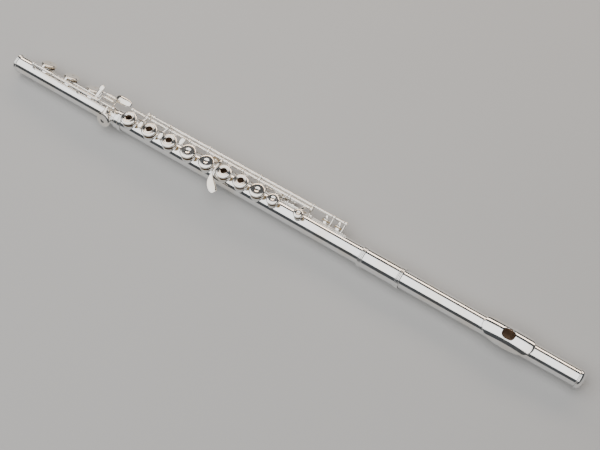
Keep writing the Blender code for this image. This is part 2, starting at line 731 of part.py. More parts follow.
def seat(root):
    """Moves the flute so that the origin is the bottom centre of its bounding box."""
    bpy.context.view_layer.update()
    meshes = [obj for obj in FLUTE.objects if obj.type == "MESH"]
    points = [obj.matrix_world @ vert.co for obj in meshes for vert in obj.data.vertices]
    low = [min(point[i] for point in points) for i in range(3)]
    high = [max(point[i] for point in points) for i in range(3)]
    root.location = (-(low[0] + high[0]) / 2, -(low[1] + high[1]) / 2, -low[2])


def build():
    root = empty("flute")
    body = empty("body", root)
    head = empty("headjoint", root)
    foot = empty("footjoint", root)

    head_tube(head)
    lip_plate(head)
    riser(head)
    crown(empty("crown_axis", head), CROWN_X)
    stopper(empty("stopper_axis", head))

    foot_tube(foot)
    barrel(body)
    tube_with_holes("body_tube", body, TENON_X + 1.0, BODY_END_X, BODY_CUPS)
    heads = [(x, HINGE_R + HINGE_PLAY) for x in TRILL_TUBE_POSTS] + [(TRILL_STEEL_POST, ROD_R + HINGE_PLAY)]
    main = [(x, MAIN_ROD) for x in MAIN_POSTS] + [(x, THUMB_ROD) for x in THUMB_POSTS]
    rib_with_posts("main_rib", body, (232.0, 477.6), MAIN_RIB_ANGLE, main, heads)
    rib_with_posts("trill_rib", body, (188.0, 230.5), TRILL_RIB_ANGLE, [(x, TRILL_ROD) for x in TRILL_POSTS])
    rib_with_posts("foot_rib", foot, (490.5, 615.5), FOOT_RIB_ANGLE, [(x, FOOT_ROD) for x in FOOT_POSTS])

    combine("left_hand_rod", STEEL, body, solid_rod(MAIN_POSTS[0] - 1.6, SPLIT_POST - 0.15, ROD_R, MAIN_ROD))
    combine("right_hand_rod", STEEL, body, solid_rod(SPLIT_POST + 0.15, MAIN_POSTS[-1] + 1.6, ROD_R, MAIN_ROD))
    combine("thumb_rod", STEEL, body, solid_rod(THUMB_POSTS[0] - 1.6, THUMB_POSTS[1] + 1.6, ROD_R, THUMB_ROD))
    combine("foot_rod", STEEL, foot, solid_rod(FOOT_POSTS[0] - 1.6, FOOT_POSTS[-1] + 1.6, ROD_R, FOOT_ROD))

    main_keys(body)
    g_sharp_key(body)
    trill_keys(body)
    thumb_keys(body)
    side_lever(body)
    foot_keys(foot)
    rollers()
    seat(root)


clear_scene()
FLUTE = collection("concert_flute")
build()
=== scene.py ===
"""Looks of a silver concert flute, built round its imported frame.

Places are given along the tube: x is the distance from the embouchure hole's centre towards the foot, an
angle is measured round the tube from the top towards the player, and a radius from the tube's axis.
"""

import json
import math
from collections import namedtuple

import bmesh
import bpy
from bpy.props import FloatProperty, FloatVectorProperty, PointerProperty
from mathutils import Matrix, Vector


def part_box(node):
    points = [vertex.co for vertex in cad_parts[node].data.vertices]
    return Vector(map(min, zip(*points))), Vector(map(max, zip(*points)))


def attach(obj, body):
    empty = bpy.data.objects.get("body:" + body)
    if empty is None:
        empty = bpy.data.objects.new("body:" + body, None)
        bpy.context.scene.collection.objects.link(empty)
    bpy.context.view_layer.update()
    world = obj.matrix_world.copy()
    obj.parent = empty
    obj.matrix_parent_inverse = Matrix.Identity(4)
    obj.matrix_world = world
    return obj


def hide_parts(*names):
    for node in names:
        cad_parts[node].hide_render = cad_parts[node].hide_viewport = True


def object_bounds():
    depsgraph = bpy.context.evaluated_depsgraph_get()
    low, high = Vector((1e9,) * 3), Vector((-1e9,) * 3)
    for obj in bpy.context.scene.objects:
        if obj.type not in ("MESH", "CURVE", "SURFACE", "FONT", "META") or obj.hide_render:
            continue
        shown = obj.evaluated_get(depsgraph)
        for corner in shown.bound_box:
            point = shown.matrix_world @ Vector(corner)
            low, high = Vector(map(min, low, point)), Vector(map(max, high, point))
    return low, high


bl_info = {
    "name": "Concert flute",
    "version": (1, 0, 0),
    "blender": (4, 5, 0),
    "location": "3D View > Sidebar > Flute",
    "description": "Builds a silver concert flute with its keys, rods and pads",
    "category": "Object",
}

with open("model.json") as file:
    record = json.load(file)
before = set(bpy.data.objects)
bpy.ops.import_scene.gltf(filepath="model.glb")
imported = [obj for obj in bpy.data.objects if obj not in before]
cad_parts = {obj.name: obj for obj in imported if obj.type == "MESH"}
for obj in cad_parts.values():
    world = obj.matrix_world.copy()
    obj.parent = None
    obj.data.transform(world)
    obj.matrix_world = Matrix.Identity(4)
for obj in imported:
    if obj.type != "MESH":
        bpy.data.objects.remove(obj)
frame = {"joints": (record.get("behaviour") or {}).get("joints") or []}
CAD_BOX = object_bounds()
MM = 0.001
# Points this near each other in millimetres become one, and the floor lies this far below the flute in metres
WELD = 0.0005
FLOOR_GAP = 0.0002
JOINTS = {joint["name"]: joint for joint in frame["joints"]}
HEAD_LOW, HEAD_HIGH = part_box("head_tube")
TENON_X = 153.0
FLUTE_ORIGIN = Vector((
    HEAD_HIGH.x - TENON_X * MM, (HEAD_LOW.y + HEAD_HIGH.y) / 2, (HEAD_LOW.z + HEAD_HIGH.z) / 2))
IN_FRAME = Matrix.Translation(FLUTE_ORIGIN) @ Matrix.Scale(MM, 4)


def hinge_line(joint):
    """A hinge's place beside the tube's axis, as (y, z) in millimetres."""
    place = (Vector(JOINTS[joint]["pos_m"]) - FLUTE_ORIGIN) / MM
    return round(place.y, 1), round(place.z, 1)


# Stations along the tube and round it, in millimetres and degrees.
CROWN_X = -73.8
BARREL_X = (117.2, 165.7)
BODY_START_X = 154.0
BODY_END_X = 488.0
SOCKET_X = (479.0, 488.8)
FOOT_START_X = 488.3
FOOT_END_X = 641.0
STOPPER_X = -17.3

# The embouchure hole's half length and half width, and the lip plate round it
HOLE_HALF = (6.5, 5.4)
LIP_HALF_LENGTH = 27.0
LIP_SIDE_R = 12.0
LIP_END_R = 10.6
LIP_CREST = 2.7
LIP_WRAP = 1.55

MAIN_LINE = hinge_line("f_hinge")
TRILL_LINE = hinge_line("d_trill_hinge")
THUMB_LINE = hinge_line("thumb_b_hinge")
FOOT_LINE = hinge_line("foot_c_hinge")
C_ROLLER_LINE = (-12.6, 18.0)
B_ROLLER_LINE = (-8.2, 18.2)
MAIN_POSTS = (235.5, 263.0, 302.5, 323.7, 370.5, 395.5, 422.5, 455.5, 476.0)
TRILL_ON_MAIN = {235.5: 1.8, 302.5: 1.8, 370.5: 1.8, 455.5: 1.2}
TRILL_POSTS = (195.5, 209.7)
THUMB_POSTS = (256.5, 291.5)
FOOT_POSTS = (492.4, 546.0, 613.0)
ROD_SPLIT_X = 370.5
G_SHARP_ARM_X = 349.8
# Each spring's post and how far the spring reaches along the row
MAIN_SPRINGS = ((263.0, -11.0), (302.5, 11.0), (323.7, 11.0), (370.5, -10.0), (395.5, -11.0), (422.5, -11.0),
                (455.5, -13.0), (476.0, -10.0))
FOOT_SPRINGS = ((492.4, 9.0), (546.0, -12.0), (546.0, 14.0), (613.0, -14.0))

# Each cup's place, its radius, its tone hole's bore and the degrees that it stands open at rest
Cup = namedtuple("Cup", "x angle radius bore finger_hole turn")
CUPS = {
    "d": Cup(469.0, 0.0, 9.1, 7.4, True, 9.0),
    "e": Cup(440.0, 0.0, 9.1, 7.4, True, 9.0),
    "f": Cup(412.5, 0.0, 9.1, 7.4, True, 9.0),
    "f_sharp": Cup(386.3, 0.0, 9.1, 7.4, False, 9.0),
    "lower_g": Cup(361.5, 0.0, 8.8, 7.0, False, 9.0),
    "upper_g": Cup(338.2, 0.0, 8.8, 7.0, True, 9.0),
    "a": Cup(316.0, 0.0, 8.8, 7.0, True, 9.0),
    "b_flat": Cup(294.6, 0.0, 8.8, 7.0, False, 9.0),
    "c": Cup(274.5, 0.0, 7.0, 5.2, False, 9.0),
    "c_sharp": Cup(242.4, 0.0, 5.5, 3.6, False, 9.0),
    "thumb_b": Cup(272.5, 107.0, 7.0, 5.6, False, -12.0),
    "g_sharp": Cup(361.5, 106.0, 7.4, 5.9, False, 0.0),
    "d_trill": Cup(217.1, 80.0, 5.2, 3.6, False, 0.0),
    "d_sharp_trill": Cup(201.7, 80.0, 5.2, 3.6, False, 0.0),
    "foot_d_sharp": Cup(498.8, -58.0, 9.0, 7.5, False, 0.0),
    "foot_c_sharp": Cup(531.7, 56.0, 9.1, 7.6, False, -9.0),
    "foot_c": Cup(566.0, 56.0, 9.1, 7.6, False, -9.0),
    "foot_b": Cup(600.5, 56.0, 9.1, 7.6, False, -9.0),
}
FOOT_CUPS = [name for name in CUPS if name.startswith("foot_")]
BODY_CUPS = [name for name in CUPS if name not in FOOT_CUPS]

# The main row's hinge tubes, each from its first x to its last
MAIN_TUBES = {
    "c_sharp": (237.5, 261.0), "c": (265.0, 283.6), "b_flat": (283.9, 300.5), "a": (304.5, 321.7),
    "upper_g": (325.7, 343.2), "lower_g": (355.0, 368.5), "f_sharp": (372.5, 393.5), "f": (402.6, 420.5),
    "e": (424.5, 453.5), "d": (457.5, 474.0),
}


# Sizes and finishes that a user would change

class FLUTE_PG_sizes(bpy.types.PropertyGroup):
    """Sizes of the flute's drawn and turned work"""

    tube_radius: FloatProperty(
        name="Tube radius", description="Outside radius of the body and foot tubes", default=9.9 * MM,
        unit="LENGTH")
    tube_wall: FloatProperty(
        name="Tube wall", description="Thickness of the tubes", default=0.45 * MM, unit="LENGTH")
    head_end_radius: FloatProperty(
        name="Head end radius", description="Outside radius of the head tube at the crown", default=9.0 * MM,
        unit="LENGTH")
    rim_radius: FloatProperty(
        name="Rim radius", description="Distance from the tube's axis to the rim of each tone hole",
        default=12.3 * MM, unit="LENGTH")
    pad_gap: FloatProperty(
        name="Pad gap", description="Room between a shut pad and its rim", default=0.3 * MM, unit="LENGTH")
    pad_thickness: FloatProperty(
        name="Pad thickness", description="Thickness of a key pad", default=2.4 * MM, unit="LENGTH")
    cup_roof: FloatProperty(
        name="Cup roof", description="Thickness of a key cup's top", default=0.7 * MM, unit="LENGTH")
    finger_hole: FloatProperty(
        name="Finger hole", description="Radius of the hole in an open key", default=3.6 * MM, unit="LENGTH")
    rod_radius: FloatProperty(
        name="Rod radius", description="Radius of the steel rods", default=1.0 * MM, unit="LENGTH")
    hinge_radius: FloatProperty(
        name="Hinge tube radius", description="Outside radius of the keys' hinge tubes", default=1.6 * MM,
        unit="LENGTH")


class FLUTE_PG_finishes(bpy.types.PropertyGroup):
    """Colours of the flute's materials and its studio"""

    silver: FloatVectorProperty(
        name="Silver", description="Colour of the polished tubes", default=(0.93, 0.93, 0.92),
        subtype="COLOR")
    worked_silver: FloatVectorProperty(
        name="Worked silver", description="Colour of the keys and posts, a little warmer than the tubes",
        default=(0.93, 0.9, 0.85), subtype="COLOR")
    steel: FloatVectorProperty(
        name="Steel", description="Colour of the rods and screws", default=(0.62, 0.62, 0.64),
        subtype="COLOR")
    bore: FloatVectorProperty(
        name="Bore", description="Colour of the tarnished inside of the tubes", default=(0.3, 0.2, 0.13),
        subtype="COLOR")
    pad: FloatVectorProperty(
        name="Pad skin", description="Colour of the pads' skin", default=(0.72, 0.52, 0.27), subtype="COLOR")
    cork: FloatVectorProperty(
        name="Cork", description="Colour of the stopper's cork", default=(0.5, 0.31, 0.15), subtype="COLOR")
    floor: FloatVectorProperty(
        name="Floor", description="Colour of the studio floor", default=(0.46, 0.46, 0.455), subtype="COLOR")


# Shader maths

class Value:
    """A socket that takes part in Python expressions: each operation adds one Math node."""

    def __init__(self, nodes, socket):
        self.nodes = nodes
        self.socket = socket

    def _math(self, operation, *terms):
        return self.nodes.add("ShaderNodeMath", {"operation": operation}, dict(enumerate(terms)))

    def __add__(self, other):
        return self._math("ADD", self, other)

    def __mul__(self, other):
        return self._math("MULTIPLY", self, other)

    def __sub__(self, other):
        return self._math("SUBTRACT", self, other)

    def __rsub__(self, other):
        return self._math("SUBTRACT", other, self)

    __radd__ = __add__
    __rmul__ = __mul__


class Finish:
    """One material and the nodes that feed its Principled shader."""

    def __init__(self, name, metallic, **constants):
        self.material = bpy.data.materials.new(name)
        self.material.use_nodes = True
        self.tree = self.material.node_tree
        self.shader = self.tree.nodes["Principled BSDF"]
        self.shader.inputs["Metallic"].default_value = metallic
        for socket, value in constants.items():
            self.shader.inputs[socket.replace("_", " ")].default_value = value
        self.place = self.add("ShaderNodeTexCoord", {}, {}, "Object")

    def add(self, kind, settings, inputs, output=0):
        """One node with its settings made first, then each input given a value or a link."""
        node = self.tree.nodes.new(kind)
        for name, value in settings.items():
            if name == "stops":
                self._stops(node.color_ramp, value)
            else:
                setattr(node, name, value)
        for key, value in inputs.items():
            if isinstance(value, Value):
                self.tree.links.new(value.socket, node.inputs[key])
            else:
                node.inputs[key].default_value = value
        return Value(self, node.outputs[output])

    @staticmethod
    def _stops(ramp, stops):
        while len(ramp.elements) < len(stops):
            ramp.elements.new(0.5)
        for element, (position, color) in zip(ramp.elements, stops):
            element.position = position
            element.color = color

    def stretched(self, scale):
        """The object's coordinates, drawn out by this much along each axis."""
        return self.add("ShaderNodeMapping", {}, {"Vector": self.place, "Scale": scale})

    def noise(self, scale, detail, where=None):
        """A cloud of soft spots, from 0 to 1."""
        inputs = {"Vector": where or self.place, "Scale": scale, "Detail": detail}
        return self.add("ShaderNodeTexNoise", {}, inputs)

    def step(self, value, low, high):
        """0 below low and 1 above high, smooth between them."""
        settings = {"interpolation_type": "SMOOTHSTEP"}
        return self.add("ShaderNodeMapRange", settings, {"Value": value, "From Min": low, "From Max": high})

    def mix(self, factor, first, second):
        """A colour between two colours."""
        settings = {"data_type": "RGBA"}
        return self.add("ShaderNodeMix", settings, {0: factor, 6: first, 7: second}, 2)

    def bump(self, height, strength, distance):
        inputs = {"Height": height, "Strength": strength, "Distance": distance}
        return self.add("ShaderNodeBump", {}, inputs)

    def feed(self, **links):
        for socket, value in links.items():
            self.tree.links.new(value.socket, self.shader.inputs[socket.replace("_", " ")])
        return self.material


def rgba(color, shade=1.0):
    return (*(channel * shade for channel in color[:3]), 1.0)


def polished_metal(name, color, shine, grain):
    """Polished metal: soft handling marks, a faint haze of fine drawn scratches and a slight warm bloom."""
    finish = Finish(name, 1.0)
    marks = finish.step(finish.noise(95.0, 3.0), 0.42, 0.72)
    bloom = finish.step(finish.noise(38.0, 2.0), 0.45, 0.75)
    hairs = finish.noise(1.0, 2.0, finish.stretched((180.0, 5200.0, 5200.0)))
    tint = finish.mix(bloom, rgba(color), (color[0] * 0.97, color[1] * 0.925, color[2] * 0.86, 1.0))
    return finish.feed(
        Base_Color=tint,
        Roughness=marks * 0.07 + hairs * grain + shine,
        Normal=finish.bump(hairs, 0.05, 0.00002),
    )


def dull_bore(name, color):
    """Silver that breath has tarnished: brown, cloudy and no longer a mirror."""
    finish = Finish(name, 0.35)
    cloud = finish.noise(260.0, 4.0)
    return finish.feed(
        Base_Color=finish.mix(finish.step(cloud, 0.3, 0.7), rgba(color), rgba(color, 1.5)),
        Roughness=cloud * 0.2 + 0.5,
        Normal=finish.bump(cloud, 0.2, 0.0001),
    )


def turned_steel(name, color):
    """Steel with the fine rings that turning leaves."""
    finish = Finish(name, 1.0)
    rings = finish.noise(1.0, 2.0, finish.stretched((5200.0, 60.0, 60.0)))
    wear = finish.step(finish.noise(140.0, 2.0), 0.4, 0.7)
    return finish.feed(
        Base_Color=finish.mix(wear, rgba(color), rgba(color, 0.8)),
        Roughness=rings * 0.16 + 0.16,
        Normal=finish.bump(rings, 0.1, 0.00003),
    )


def pad_skin(name, color):
    """Thin skin over felt: cloudy, a little shiny and faintly wrinkled."""
    finish = Finish(name, 0.0, Coat_Roughness=0.35)
    cloud = finish.noise(420.0, 4.0)
    wrinkle = finish.noise(2600.0, 3.0)
    return finish.feed(
        Base_Color=finish.mix(finish.step(cloud, 0.3, 0.7), rgba(color), rgba(color, 0.68)),
        Roughness=cloud * 0.25 + 0.35,
        Coat_Weight=finish.step(cloud, 0.35, 0.8) * 0.35,
        Normal=finish.bump(wrinkle, 0.25, 0.00008),
    )


def natural_cork(name, color):
    """Cork with its dark pores and pale grain."""
    finish = Finish(name, 0.0)
    grain = finish.noise(700.0, 5.0)
    pores = finish.step(finish.noise(1500.0, 2.0), 0.6, 0.68)
    body = finish.mix(grain, rgba(color, 0.75), rgba(color, 1.3))
    return finish.feed(
        Base_Color=finish.mix(pores, body, rgba(color, 0.25)),
        Roughness=grain * 0.15 + 0.75,
        Normal=finish.bump(1 - pores, 0.4, 0.0002),
    )


def studio_floor(name, color):
    finish = Finish(name, 0.0)
    cloud = finish.noise(3.0, 3.0)
    tooth = finish.noise(900.0, 3.0)
    return finish.feed(
        Base_Color=finish.mix(cloud, rgba(color, 0.97), rgba(color, 1.03)),
        Roughness=tooth * 0.1 + 0.6,
        Normal=finish.bump(tooth, 0.05, 0.0002),
    )


def finish_for(slot):
    """The material of a finish, made the first time that it is asked for."""
    found = bpy.data.materials.get("flute_" + slot)
    if found:
        return found
    colors = bpy.context.scene.flute_finishes
    makers = {
        "silver": lambda name: polished_metal(name, colors.silver, 0.05, 0.05),
        "worked_silver": lambda name: polished_metal(name, colors.worked_silver, 0.07, 0.06),
        "bore": lambda name: dull_bore(name, colors.bore),
        "steel": lambda name: turned_steel(name, colors.steel),
        "pad_skin": lambda name: pad_skin(name, colors.pad),
        "cork": lambda name: natural_cork(name, colors.cork),
        "floor": lambda name: studio_floor(name, colors.floor),
    }
    return makers[slot]("flute_" + slot)


# Making shapes

def ring_point(x, angle, radius):
    a = math.radians(angle)
    return Vector((x, -radius * math.sin(a), radius * math.cos(a)))


def outward(x, angle):
    """A frame on the tube's axis whose z runs out through this angle, with its x along the tube."""
    return Matrix.Translation((x, 0, 0)) @ Matrix.Rotation(math.radians(angle), 4, "X")


def along_x(y=0.0, z=0.0, x=0.0):
    """A frame whose z runs along the tube."""
    return Matrix.Translation((x, y, z)) @ Matrix.Rotation(math.radians(90), 4, "Y")


def pointing(start, end):
    """A frame at start whose z runs towards end."""
    return Matrix.Translation(start) @ (end - start).to_track_quat("Z", "Y").to_matrix().to_4x4()


def round_angles(count):
    return [2 * math.pi * i / count for i in range(count)]


def circle(where, radius, height, sides):
    """Points round the z axis of a frame."""
    return [where @ Vector((radius * math.cos(a), radius * math.sin(a), height)) for a in round_angles(sides)]


def squarish(sides, square):
    """Points round a unit circle that is drawn out towards a square: 2 leaves it round."""
    points = []
    for a in round_angles(sides):
        c, s = math.cos(a), math.sin(a)
        points.append((math.copysign(abs(c) ** (2 / square), c), math.copysign(abs(s) ** (2 / square), s)))
    return points


def mirrored(half):
    """The profile whose upper half this is, down to its middle."""
    return half + [(radius, -height) for radius, height in reversed(half) if height]


def eased(profile, reach, closed=True):
    """The profile with its corners rounded off, each over at most this reach."""
    points = [Vector(point) for point in profile]
    count = len(points)
    made = []
    for i, point in enumerate(points):
        if not closed and i in (0, count - 1):
            made.append(tuple(point))
            continue
        before, after = points[i - 1], points[(i + 1) % count]
        cut = min(reach, (before - point).length * 0.45, (after - point).length * 0.45)
        start = point + (before - point).normalized() * cut
        end = point + (after - point).normalized() * cut
        for share in (0.0, 0.33, 0.67, 1.0):
            first = start.lerp(point, share)
            made.append(tuple(first.lerp(point.lerp(end, share), share)))
    return made


def smooth_path(points, steps):
    """A curve through these points, with this many steps between two of them."""
    points = [Vector(point) for point in points]
    ends = [points[0] * 2 - points[1], *points, points[-1] * 2 - points[-2]]
    made = []
    for a, b, c, d in zip(ends, ends[1:], ends[2:], ends[3:]):
        for i in range(steps):
            t = i / steps
            made.append(0.5 * ((2 * b) + (c - a) * t + (2 * a - 5 * b + 4 * c - d) * t * t
                               + (3 * b - a - 3 * c + d) * t ** 3))
    return [*made, points[-1]]


class Piece:
    """One piece in the making, as closed shells in millimetres."""

    def __init__(self):
        self.work = bmesh.new()

    def ring(self, points):
        return [self.work.verts.new(point) for point in points]

    def skin(self, first, second):
        """Faces between two rings, either of which may be a single point."""
        count = max(len(first), len(second))
        if count == 1:
            return
        for i in range(count):
            j = (i + 1) % count
            low = [first[i % len(first)], first[j % len(first)]]
            high = [second[j % len(second)], second[i % len(second)]]
            self.work.faces.new(list(dict.fromkeys(low + high)))

    def loft(self, rings, closed=False):
        rings = [self.ring(points) for points in rings]
        for first, second in zip(rings, rings[1:]):
            self.skin(first, second)
        if closed:
            self.skin(rings[-1], rings[0])

    def turned(self, profile, where, sides=48, closed=True):
        """A shell turned from (radius, height) points, which make a ring or start and end on the axis."""
        rings = []
        for radius, height in profile:
            rings.append(circle(where, radius, height, sides) if radius else [where @ Vector((0, 0, height))])
        self.loft(rings, closed)

    def bar(self, points, width, thick=None, sides=12, steps=6, side=None):
        """A bar drawn along a curve, with rounded ends: width across, and thick where it is flattened.
        Either may be one size, or a tuple with a size for each point of the curve."""
        path = smooth_path(points, steps)
        last = len(path) - 1
        thick = width if thick is None else thick
        widths = width if isinstance(width, tuple) else (width,) * len(points)
        thicks = thick if isinstance(thick, tuple) else (thick,) * len(points)
        spans = smooth_path([(w, t, 0) for w, t in zip(widths, thicks)], steps)
        across = Vector(side or (1, 0, 0))
        rings = []
        for i, point in enumerate(path):
            run = (path[min(i + 1, last)] - path[max(i - 1, 0)]).normalized()
            lift = run.cross(across)
            lift = lift.normalized() if lift.length > 0.05 else run.cross(Vector((0, 0, 1))).normalized()
            across = lift.cross(run).normalized()
            half_w, half_t = spans[i].x / 2, spans[i].y / 2
            reach = min(half_w, half_t)
            caps = {0: [(-1.0, 0.35), (-0.7, 0.75), (0, 1)], last: [(0, 1), (0.7, 0.75), (1.0, 0.35)]}
            for shift, size in caps.get(i, [(0, 1)]):
                centre = point + run * shift * reach * 0.8
                wide, high = across * half_w * size, lift * half_t * size
                rings.append([centre + wide * math.cos(a) + high * math.sin(a) for a in round_angles(sides)])
        rings = [[sum(rings[0], Vector()) / sides], *rings, [sum(rings[-1], Vector()) / sides]]
        self.loft(rings)

    def touch(self, where, length, width, thick, taper=0.0, crown=0.0, square=2.4, bend=0.0, sides=40):
        """A touch plate along x with a soft edge: taper narrows one end, and crown domes the top."""
        rings = [[where @ Vector((0, 0, -thick / 2))]]
        section = [(0.5, -0.5), (0.85, -0.5), (0.97, -0.32), (1.0, 0.0), (0.97, 0.3), (0.88, 0.46)]
        section += [(0.7, 0.5), (0.45, 0.5), (0.2, 0.5)]
        for reach, height in section:
            dome = crown * (1 - reach * reach) if height > 0 else 0.0
            points = []
            for u, v in squarish(sides, square):
                u, v = u * reach, v * reach
                points.append(where @ Vector((u * length / 2, v * width / 2 * (1 - taper * u),
                                              height * thick + dome + bend * u * u)))
            rings.append(points)
        rings.append([where @ Vector((0, 0, thick / 2 + crown))])
        self.loft(rings)

    def mesh(self, name, swing=Matrix.Identity(4)):
        """The piece's mesh in the frame, which uses the piece up."""
        bmesh.ops.recalc_face_normals(self.work, faces=self.work.faces)
        mesh = bpy.data.meshes.new(name)
        self.work.to_mesh(mesh)
        self.work.free()
        mesh.transform(IN_FRAME @ swing)
        return mesh

    def finish(self, name, finish, body, nodes=(), hinge=(0, 0), turn=0.0, sharp=38.0):
        """Sets the piece into the frame, turned about its hinge line to where it rests."""
        bmesh.ops.remove_doubles(self.work, verts=self.work.verts, dist=WELD)
        pivot = Matrix.Translation((0, *hinge))
        swing = pivot @ Matrix.Rotation(math.radians(turn), 4, "X") @ pivot.inverted()
        return dress(self.mesh(name, swing), name, finish, body, nodes, sharp)


def placed(name, data):
    """An object in the scene."""
    obj = bpy.data.objects.new(name, data)
    bpy.context.scene.collection.objects.link(obj)
    return obj


def dress(mesh, name, finish, body, nodes=(), sharp=38.0):
    """Gives a finished mesh its object, material and body."""
    mesh.materials.clear()
    mesh.materials.append(finish_for(finish))
    mesh.shade_smooth()
    mesh.set_sharp_from_angle(angle=math.radians(sharp))
    obj = placed(name, mesh)
    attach(obj, body)
    if nodes:
        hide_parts(*nodes)
    return obj


def turned_piece(name, finish, body, nodes, profile, sides=48, closed=True, sharp=38.0):
    """A piece turned about the tube's axis."""
    piece = Piece()
    piece.turned(profile, along_x(), sides, closed)
    return piece.finish(name, finish, body, nodes, sharp=sharp)


def tarnish(obj, inside):
    """Gives the faces whose centres pass this test the dull finish of a played bore."""
    obj.data.materials.append(finish_for("bore"))
    for face in obj.data.polygons:
        if inside((face.center - FLUTE_ORIGIN) / MM):
            face.material_index = 1


def bored(name, blank, cutters):
    """The blank's mesh with the cutters taken away."""
    obj = placed("bored", blank.mesh(name))
    plugs = [bpy.data.objects.new("plug", cutter.mesh("plug")) for cutter in cutters]
    group = bpy.data.collections.new("cutters")
    for plug in plugs:
        group.objects.link(plug)
    cut = obj.modifiers.new("Bores", "BOOLEAN")
    cut.operand_type = "COLLECTION"
    cut.collection = group
    cut.solver = "EXACT"
    bpy.context.view_layer.update()
    made = bpy.data.meshes.new_from_object(obj.evaluated_get(bpy.context.evaluated_depsgraph_get()))
    for used in (obj, *plugs):
        bpy.data.objects.remove(used, do_unlink=True)
    bpy.data.collections.remove(group)
    return made


def sizes():
    """The user's sizes in millimetres."""
    group = bpy.context.scene.flute_sizes
    return {name: getattr(group, name) / MM for name in group.__annotations__}


# Tubes

def tube_profile(x0, x1, outer, inner, step=6.0):
    """A plain tube's section, with stations along it so that its shading stays even."""
    count = max(1, int((x1 - x0) / step))
    xs = [x0 + (x1 - x0) * i / count for i in range(count + 1)]
    return [(outer, x) for x in xs] + [(inner, x) for x in reversed(xs)]


def bore_plug(cup, low=5.0, high=12.0):
    """A plug that cuts a tone hole's bore."""
    plug = Piece()
    profile = [(0, low), (cup.bore, low), (cup.bore, high), (0, high)]
    plug.turned(profile, outward(cup.x, cup.angle), 64, False)
    return plug


def drilled_tube(name, body, x0, x1, cups):
    """A tube with its tone holes bored and their rims drawn."""
    s = sizes()
    outer, wall = s["tube_radius"], s["tube_wall"]
    blank = Piece()
    blank.turned(tube_profile(x0, x1, outer, outer - wall), along_x(), 96)
    mesh = bored(name + "_drawn", blank, [bore_plug(CUPS[cup]) for cup in cups])
    tube = dress(mesh, name + "_drawn", "silver", body, [name], 30.0)
    tarnish(tube, lambda centre: math.hypot(centre.y, centre.z) < outer - wall / 2)
    for cup in cups:
        piece = Piece()
        chimney(piece, CUPS[cup])
        piece.finish("tone_hole_" + cup, "silver", body)


def chimney(piece, cup, wall=0.55, sides=56):
    """A drawn tone hole: its foot spreads onto the tube and its rim is rolled."""
    s = sizes()
    tube, rim, bore = s["tube_radius"], s["rim_radius"], cup.bore
    where = outward(cup.x, cup.angle)

    def saddle(radius, lift):
        ring = []
        for a in round_angles(sides):
            across = min(abs(radius * math.sin(a)), tube * 0.97)
            ring.append(where @ Vector((radius * math.cos(a), radius * math.sin(a),
                                        math.sqrt(tube * tube - across * across) + lift)))
        return ring

    outer = bore + wall
    rolled = [(bore, -0.5), (bore - 0.05, -0.22), (bore + 0.1, -0.03), (bore + wall / 2, 0), (outer, -0.03),
              (outer + 0.12, -0.25), (outer + 0.02, -0.5)]
    foot = [(0, 0.75), (0.1, 0.35), (0.32, 0.1), (0.75, -0.08)]
    rings = [saddle(bore, -0.3)]
    rings += [circle(where, radius, rim + height, sides) for radius, height in rolled]
    rings += [saddle(outer + reach, lift) for reach, lift in foot]
    piece.loft(rings, True)


def beads(x0, x1, base, radius, count, depth=0.45):
    """A band of round beads, from its last station back to its first, as (radius, x) points."""
    pitch = (x1 - x0) / count
    points = [(base, x1)]
    for bead in range(count):
        top = x1 - pitch * bead
        for share in (0.0, 0.12, 0.3, 0.5, 0.7, 0.88, 1.0):
            rise = math.sin(math.pi * share) ** 0.6
            points.append((radius - depth * (1 - rise), top - pitch * share))
    return [*points, (base, x0)]


class FLUTE_OT_headjoint(bpy.types.Operator):
    """Head tube with its lip plate, riser, crown and stopper"""

    bl_idname = "flute.headjoint"
    bl_label = "Headjoint"

    def execute(self, context):
        head_tube()
        lip_plate()
        riser()
        crown()
        stopper()
        return {"FINISHED"}


def head_radius(x):
    s = sizes()
    share = max(0.0, (TENON_X - x) / (TENON_X - CROWN_X))
    return s["tube_radius"] - (s["tube_radius"] - s["head_end_radius"]) * share ** 1.5


def head_tube():
    wall = sizes()["tube_wall"]
    count = 40
    xs = [CROWN_X + 0.3 + (TENON_X - CROWN_X - 0.3) * i / count for i in range(count + 1)]
    profile = [(head_radius(x), x) for x in xs] + [(head_radius(x) - wall, x) for x in reversed(xs)]
    blank = Piece()
    blank.turned(profile, along_x(), 96)
    hole = Piece()
    hole.loft([[(0, 0, 4)], oval(0.5, 4), oval(0.5, 12), [(0, 0, 12)]])
    name = "head_tube_drawn"
    tube = dress(bored(name, blank, [hole]), name, "silver", "headjoint", ["head_tube"], 30.0)
    tarnish(tube, lambda centre: math.hypot(centre.y, centre.z) < head_radius(centre.x) - wall / 2)


def oval(grow, height, sides=64):
    """A ring this far outside the edge of the embouchure hole."""
    half_length, half_width = (half + grow for half in HOLE_HALF)
    return [Vector((u * half_length, v * half_width, height)) for u, v in squarish(sides, 2.5)]


def lip_point(u, v, drop=0.0):
    """A point of the lip plate's top face: u along the tube and v round it, each from -1 to 1."""
    x = u * math.sqrt(1 - 0.3 * v * v) * LIP_HALF_LENGTH
    angle = v * math.sqrt(1 - 0.3 * u * u) * LIP_WRAP
    top = LIP_END_R + LIP_CREST * max(0.0, math.cos(u * math.pi / 2)) ** 0.8 - drop
    return Vector((x, math.sin(angle) * (LIP_SIDE_R - drop), math.cos(angle) * top))


